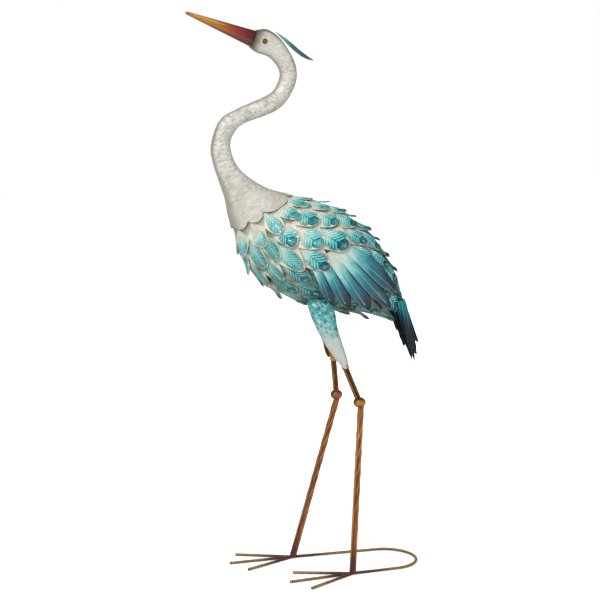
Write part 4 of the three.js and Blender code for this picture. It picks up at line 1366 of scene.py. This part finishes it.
# Painted shade darkens the shell towards its front and back edges.
from_ridge = abs(round_thigh - 0.5)
tone = covered(tone, (70, 96, 92), between(from_ridge, 0.36, 0.5) * 0.5)
link(tone, shader, "Base Color")
bumped(shader, dabs, 0.7, 0.002)

# %% Primer
primer, tree, shader, place = finish("primer", 0.5, 0.3)
tone = clouded(place, 60.0, (182, 130, 54), (140, 92, 40))
# Painted shade darkens the upper part, where it lies inside the thigh shell.
tone = covered(tone, (58, 42, 30), between(kept(tree, "along"), 0.7, 0.6))
link(tone, shader, "Base Color")
brushed(shader, place, 150.0, 0.3, 0.001)

# %% Thigh shells
for name, mirror in (("left", 1.0), ("right", -1.0)):
    thigh, across, along = flat_grid(f"thigh_shell_{name}", 48, 64)
    ring = spline(THIGH_RINGS, along * (len(THIGH_RINGS) - 1))
    turn = across * math.pi
    points = np.stack([ring[:, 0] + set_back(ring[:, 2], mirror) - ring[:, 3] * np.cos(turn),
                       mirror * (ring[:, 1] - ring[:, 4] * np.sin(turn)), ring[:, 2]], axis=-1)
    set_vertices(thigh, to_frame(points))
    mark(thigh, along=along, across=across)
    turn_outwards(thigh, to_frame([55.0, mirror * -44.0, 460.0]))
    for finish_of_side in (thigh_paint, primer):
        thigh.data.materials.append(finish_of_side)
    thicken(thigh, THIGH_SHEET, material_offset=1, material_offset_rim=1)
    shade(thigh, 50)
    dress(thigh, None, "thigh_paint", f"thigh_{name}")

# %% [markdown]
# ## Legs
# A leg is a square bar, straight above the knee and twisted below it, with a ball at the knee. The bars are
# lofted along their axis from a square with rounded corners, because a twist needs many rings, and each
# ring is turned. The paint is copper brown. Gold is rubbed on the ridges and also paints their highlight, and
# a dark line of painted shade lies beside each; together they make the stripes that climb the leg. Near the
# knee and at the foot the paint is redder and darker, from the heat of the welds.

# %% Bars lofted along a line
LEG_BAR = 9.5
TWIST_PITCH = 142.0
BAR_SIDES = 40
SLEEVE_TOP_RADIUS = 8.0
SLEEVE_END_RADIUS = 6.6
KNEE_RADIUS = 11.6
KNEE_HALF_HEIGHT = 9.6
FOOT_LEVEL = 3.6
SHIN_BEHIND_KNEE = 3.0
WELD_SWELL = 1.4
WELD_GROWS = (0.965, 0.995)
CORNER_SHARPNESS = 12
ROD = 6.0
ANKLE_LEFT = Vector((89.0, -63.5, 0.0))
ANKLE_RIGHT = Vector((10.0, 63.5, 0.0))


def bar_between(name, start, end, radius_at, rings, turns=0.0):
    """A closed bar between two drawing points. radius_at reads the angle round it and the part along it."""
    ahead = np.array(end - start)
    ahead /= np.linalg.norm(ahead)
    front = np.array((-1.0, 0.0, 0.0)) + ahead[0] * ahead
    front /= np.linalg.norm(front)
    sideways = np.cross(ahead, front)
    bar, across, along = flat_grid(name, BAR_SIDES, rings)
    turn = across * 2 * math.pi
    radius = radius_at(turn, along)
    turned = turn + along * turns * 2 * math.pi
    points = rolled(np.array(start) + np.outer(along, end - start), radius, turned, front, sideways)
    close_tube(bar, points, 35, along=along, beside=np.sin(turn * 4), corner=np.abs(np.sin(turn * 2)))
    return bar


def square(turn, along):
    """The radius of a square with rounded corners, by the angle round it."""
    rounded = np.abs(np.cos(turn)) ** CORNER_SHARPNESS + np.abs(np.sin(turn)) ** CORNER_SHARPNESS
    return LEG_BAR / 2 / rounded ** (1 / CORNER_SHARPNESS)


def welded_square(turn, along):
    """The same square, swollen at its lower end where it was welded to the foot."""
    return square(turn, along) + WELD_SWELL * smooth_step(*WELD_GROWS, along) * (1 - 0.3 * np.cos(turn * 3))


# %% Bar paint
FOOT_STAIN = (0.06, 0.015)
KNEE_STAIN_BELOW = (0.27, 0.3)
KNEE_STAIN_ABOVE = (0.35, 0.33)

bar_paint, tree, shader, place = finish("bar_paint", 0.4, 0.4, 0.2, 0.2, specular=0.35)
drawn_out = node(tree, "ShaderNodeMapping", {"Vector": place, "Scale": (1.0, 1.0, 0.12)})
grain = noise(drawn_out, 170.0, 3.0)
copper = ramp(grain, (0.3, 98, 52, 26), (0.5, 132, 72, 38), (0.7, 152, 90, 46))
gold = ramp(grain, (0.3, 166, 114, 44), (0.6, 202, 150, 70))
# The dark line beside each ridge is painted shade.
beside = kept(tree, "beside") + (grain - 0.5) * 0.2
tone = covered(copper, (66, 34, 16), between(beside, 0.1, 0.8) * 0.75)
# Gold on the ridges, which also paints their highlight.
rubbed_highlight_and_rim_shade = kept(tree, "corner") + (grain - 0.5) * 0.15
tone = covered(tone, gold, between(rubbed_highlight_and_rim_shade, 0.72, 1.0) * 0.9)
height = axis(place, "Z")
tone = covered(tone, (78, 32, 34), between(height, *FOOT_STAIN) * 0.85)
near_knee = between(height, *KNEE_STAIN_BELOW) * between(height, *KNEE_STAIN_ABOVE)
tone = covered(tone, (138, 70, 56), near_knee * 0.55)
link(tone, shader, "Base Color")
brushed(shader, place, 180.0, 0.25, 0.001)

# %% Sleeves and bars
def on_side(place, mirror):
    """A place on the left leg, moved to the leg that the mirror asks for."""
    return Vector((place.x + float(set_back(np.float64(place.z), mirror)), mirror * place.y, place.z))


def sleeve_radius(turn, along):
    """A slim cone that swells a little near its end and is drawn in on the bar."""
    plain = SLEEVE_TOP_RADIUS + (SLEEVE_END_RADIUS - SLEEVE_TOP_RADIUS) * along
    drawn_in = 1.2 * np.exp(-((along - 1.0) / 0.01) ** 2)
    return plain - drawn_in + 0.25 * np.exp(-((along - 0.93) / 0.03) ** 2)


LEGS = (("left", 1.0, KNEE_LEFT, ANKLE_LEFT), ("right", -1.0, KNEE_RIGHT, ANKLE_RIGHT))
for name, mirror, knee, ankle in LEGS:
    sleeve_top, sleeve_end = on_side(SLEEVE_TOP, mirror), on_side(SLEEVE_END, mirror)
    sleeve = bar_between(f"sleeve_{name}", sleeve_top, sleeve_end, sleeve_radius, 48)
    dress(sleeve, primer, "leg_bronze", f"leg_sleeve_{name}")
    upper = bar_between(f"upper_bar_{name}", sleeve_end, knee, square, 30)
    dress(upper, bar_paint, "leg_bronze", f"upper_leg_{name}")
    start = knee + Vector((SHIN_BEHIND_KNEE, 0, 0))
    foot = Vector((ankle.x, ankle.y, FOOT_LEVEL))
    turns = (start - foot).length / TWIST_PITCH
    shin = bar_between(f"twisted_bar_{name}", start, foot, welded_square, 220, turns)
    dress(shin, bar_paint, "leg_bronze", f"lower_leg_{name}")

# %% [markdown]
# The knee balls are spheres pressed a little flat. The left one is golden and the right one more coppery.
# Both are dark at the poles, where the bars enter, and have painted shade towards the rim as seen from the
# side.

# %% Knee balls
knee_paint, tree, shader, place = finish("knee_paint", 0.46, 0.35, 0.15, 0.3, specular=0.35)
grain = noise(place, 120.0, 4.0)
pole = kept(tree, "pole") + (grain - 0.5) * 0.6
tone = ramp(pole, (0.2, 176, 122, 38), (0.55, 148, 94, 34), (0.85, 96, 52, 28), (1.0, 62, 34, 24))
tone = covered(tone, (136, 66, 40), between(axis(place, "Y"), -0.01, 0.01) * 0.65)
# Painted shade towards the rim, as seen from the side.
rubbed_highlight_and_rim_shade = kept(tree, "from_side") + (grain - 0.5) * 0.2
tone = covered(tone, (66, 38, 22), between(rubbed_highlight_and_rim_shade, 0.68, 0.98) * 0.75)
link(tone, shader, "Base Color")
brushed(shader, place, 160.0, 0.3, 0.001)

for name, _, knee, _ in LEGS:
    middle = Vector(to_frame(knee))
    pressed = (1, 1, KNEE_HALF_HEIGHT / KNEE_RADIUS)
    ball = pressed_ball(f"knee_{name}", middle, KNEE_RADIUS * MM, pressed, 56, 32)
    x, _, z = ((vertices_of(ball) - middle) / pressed / (KNEE_RADIUS * MM)).T
    mark(ball, pole=np.abs(z), from_side=np.hypot(x, z))
    dress(ball, knee_paint, "leg_bronze", f"knee_ball_{name}")

# %% [markdown]
# ## Feet and rear hoop
# The feet and the hoop are ribbed round bar, like the bar that strengthens concrete: a slim core with
# slanting ribs. They are painted gold, and dark where they were welded. Each rod is a grid rolled round its
# line, and the ribs come from a wave that climbs round it.

# %% Ribbed rods
RIB_PITCH = 4.2
RIB_HEIGHT = 0.6
RIB_SLANT = 1.0
RING_STEP = 0.9
END_BEVEL = 0.5
ROD_SIDES = 20
MIDDLE_TOE = 127.0
SIDE_TOE = 113.0
TOE_SPLAY = 24.5
LEFT_FOOT_TURN = 4.5
HOOP_RADIUS = 59.0
HOOP_CENTRE = Vector((179.0, -1.5, 0.0))
HOOP_STEPS = 61


def ribbed_rod(name, line):
    """A ribbed rod along a line of drawing points, all at half the rod's height."""
    line = np.asarray(line, float)
    runs = np.linalg.norm(np.diff(line, axis=0), axis=1)
    travelled = np.concatenate([[0], np.cumsum(runs)])
    length = travelled[-1]
    rings = int(length / RING_STEP)
    rod, across, along = flat_grid(name, ROD_SIDES, rings)
    run = along * length
    before, centre, after = (
        np.stack([np.interp(run + step, travelled, column) for column in line.T], axis=-1)
        for step in (-0.5, 0.0, 0.5))
    ahead = (after - before) / np.linalg.norm(after - before, axis=1)[:, None]
    sideways = np.cross(ahead, (0, 0, 1))
    turn = across * 2 * math.pi
    climbing = RIB_SLANT * np.abs(np.sin(turn)) * math.pi
    rib = 0.5 + 0.5 * np.cos(run / RIB_PITCH * 2 * math.pi + climbing)
    end_bevel = END_BEVEL * (smooth_step(1.0, 0.0, run) + smooth_step(length - 1.0, length, run))
    radius = ROD / 2 - RIB_HEIGHT * (1 - rib ** 1.5) - end_bevel
    points = rolled(centre, radius, turn, sideways, np.array((0, 0, 1)))
    close_tube(rod, points, 60, rib=rib, up=np.sin(turn))
    return rod


# %% Rod paint
WELD_STAIN = (0.085, 0.03)

rod_paint, tree, shader, place = finish("rod_paint", 0.45, 0.35, 0.1, 0.25, specular=0.35)
grain = noise(place, 200.0, 3.0)
broad = noise(place, 30.0, 2.0)
gold = ramp(grain, (0.3, 176, 128, 52), (0.65, 232, 192, 108))
tone = covered(gold, (48, 28, 12), between(kept(tree, "rib"), 0.8, 0.35))
# Painted shade on the underside of each rod.
tone = covered(tone, (52, 32, 18), between(kept(tree, "up"), 0.1, -0.6) * 0.8)
from_weld = smaller(*(distance(place, to_frame(ankle)) for ankle in (ANKLE_LEFT, ANKLE_RIGHT)))
from_weld = from_weld + (broad - 0.5) * 0.04
tone = covered(tone, (78, 34, 36), between(from_weld, *WELD_STAIN) * 0.9)
link(tone, shader, "Base Color")
brushed(shader, place, 300.0, 0.3, 0.0008)

# %% Toes
HALF_ROD = Vector((0, 0, ROD / 2))
for name, mirror, _, ankle in LEGS:
    foot_turn = -LEFT_FOOT_TURN if name == "left" else 0.0
    toes = {"middle": (0.0, MIDDLE_TOE), "inner": (mirror * TOE_SPLAY, SIDE_TOE),
            "outer": (-mirror * TOE_SPLAY, SIDE_TOE)}
    for toe, (splay, length) in toes.items():
        turn = math.radians(foot_turn + splay)
        start = ankle + HALF_ROD
        end = start + Vector((-math.cos(turn), math.sin(turn), 0)) * length
        rod = ribbed_rod(f"{toe}_toe_{name}", (start, end))
        dress(rod, rod_paint, "toe_gold", f"toe_{toe}_{name}")

# %% [markdown]
# The hoop is one rod: back from the left ankle, round behind the bird and up to the right ankle. Its line
# is two straight runs and a half circle.

# %% Rear hoop
bend = [HOOP_CENTRE + Vector((math.sin(turn), -math.cos(turn), 0)) * HOOP_RADIUS
        for turn in np.linspace(0, math.pi, HOOP_STEPS)]
hoop = ribbed_rod("hoop_rod", [place + HALF_ROD for place in (ANKLE_LEFT, *bend, ANKLE_RIGHT)])
dress(hoop, rod_paint, "toe_gold", "rear_hoop")

# %% [markdown]
# Everything is in place. The size of the dressed statue is printed.

# %% Sizes and the end
low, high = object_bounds()
print("the statue measures", [round(v, 3) for v in (high - low)])
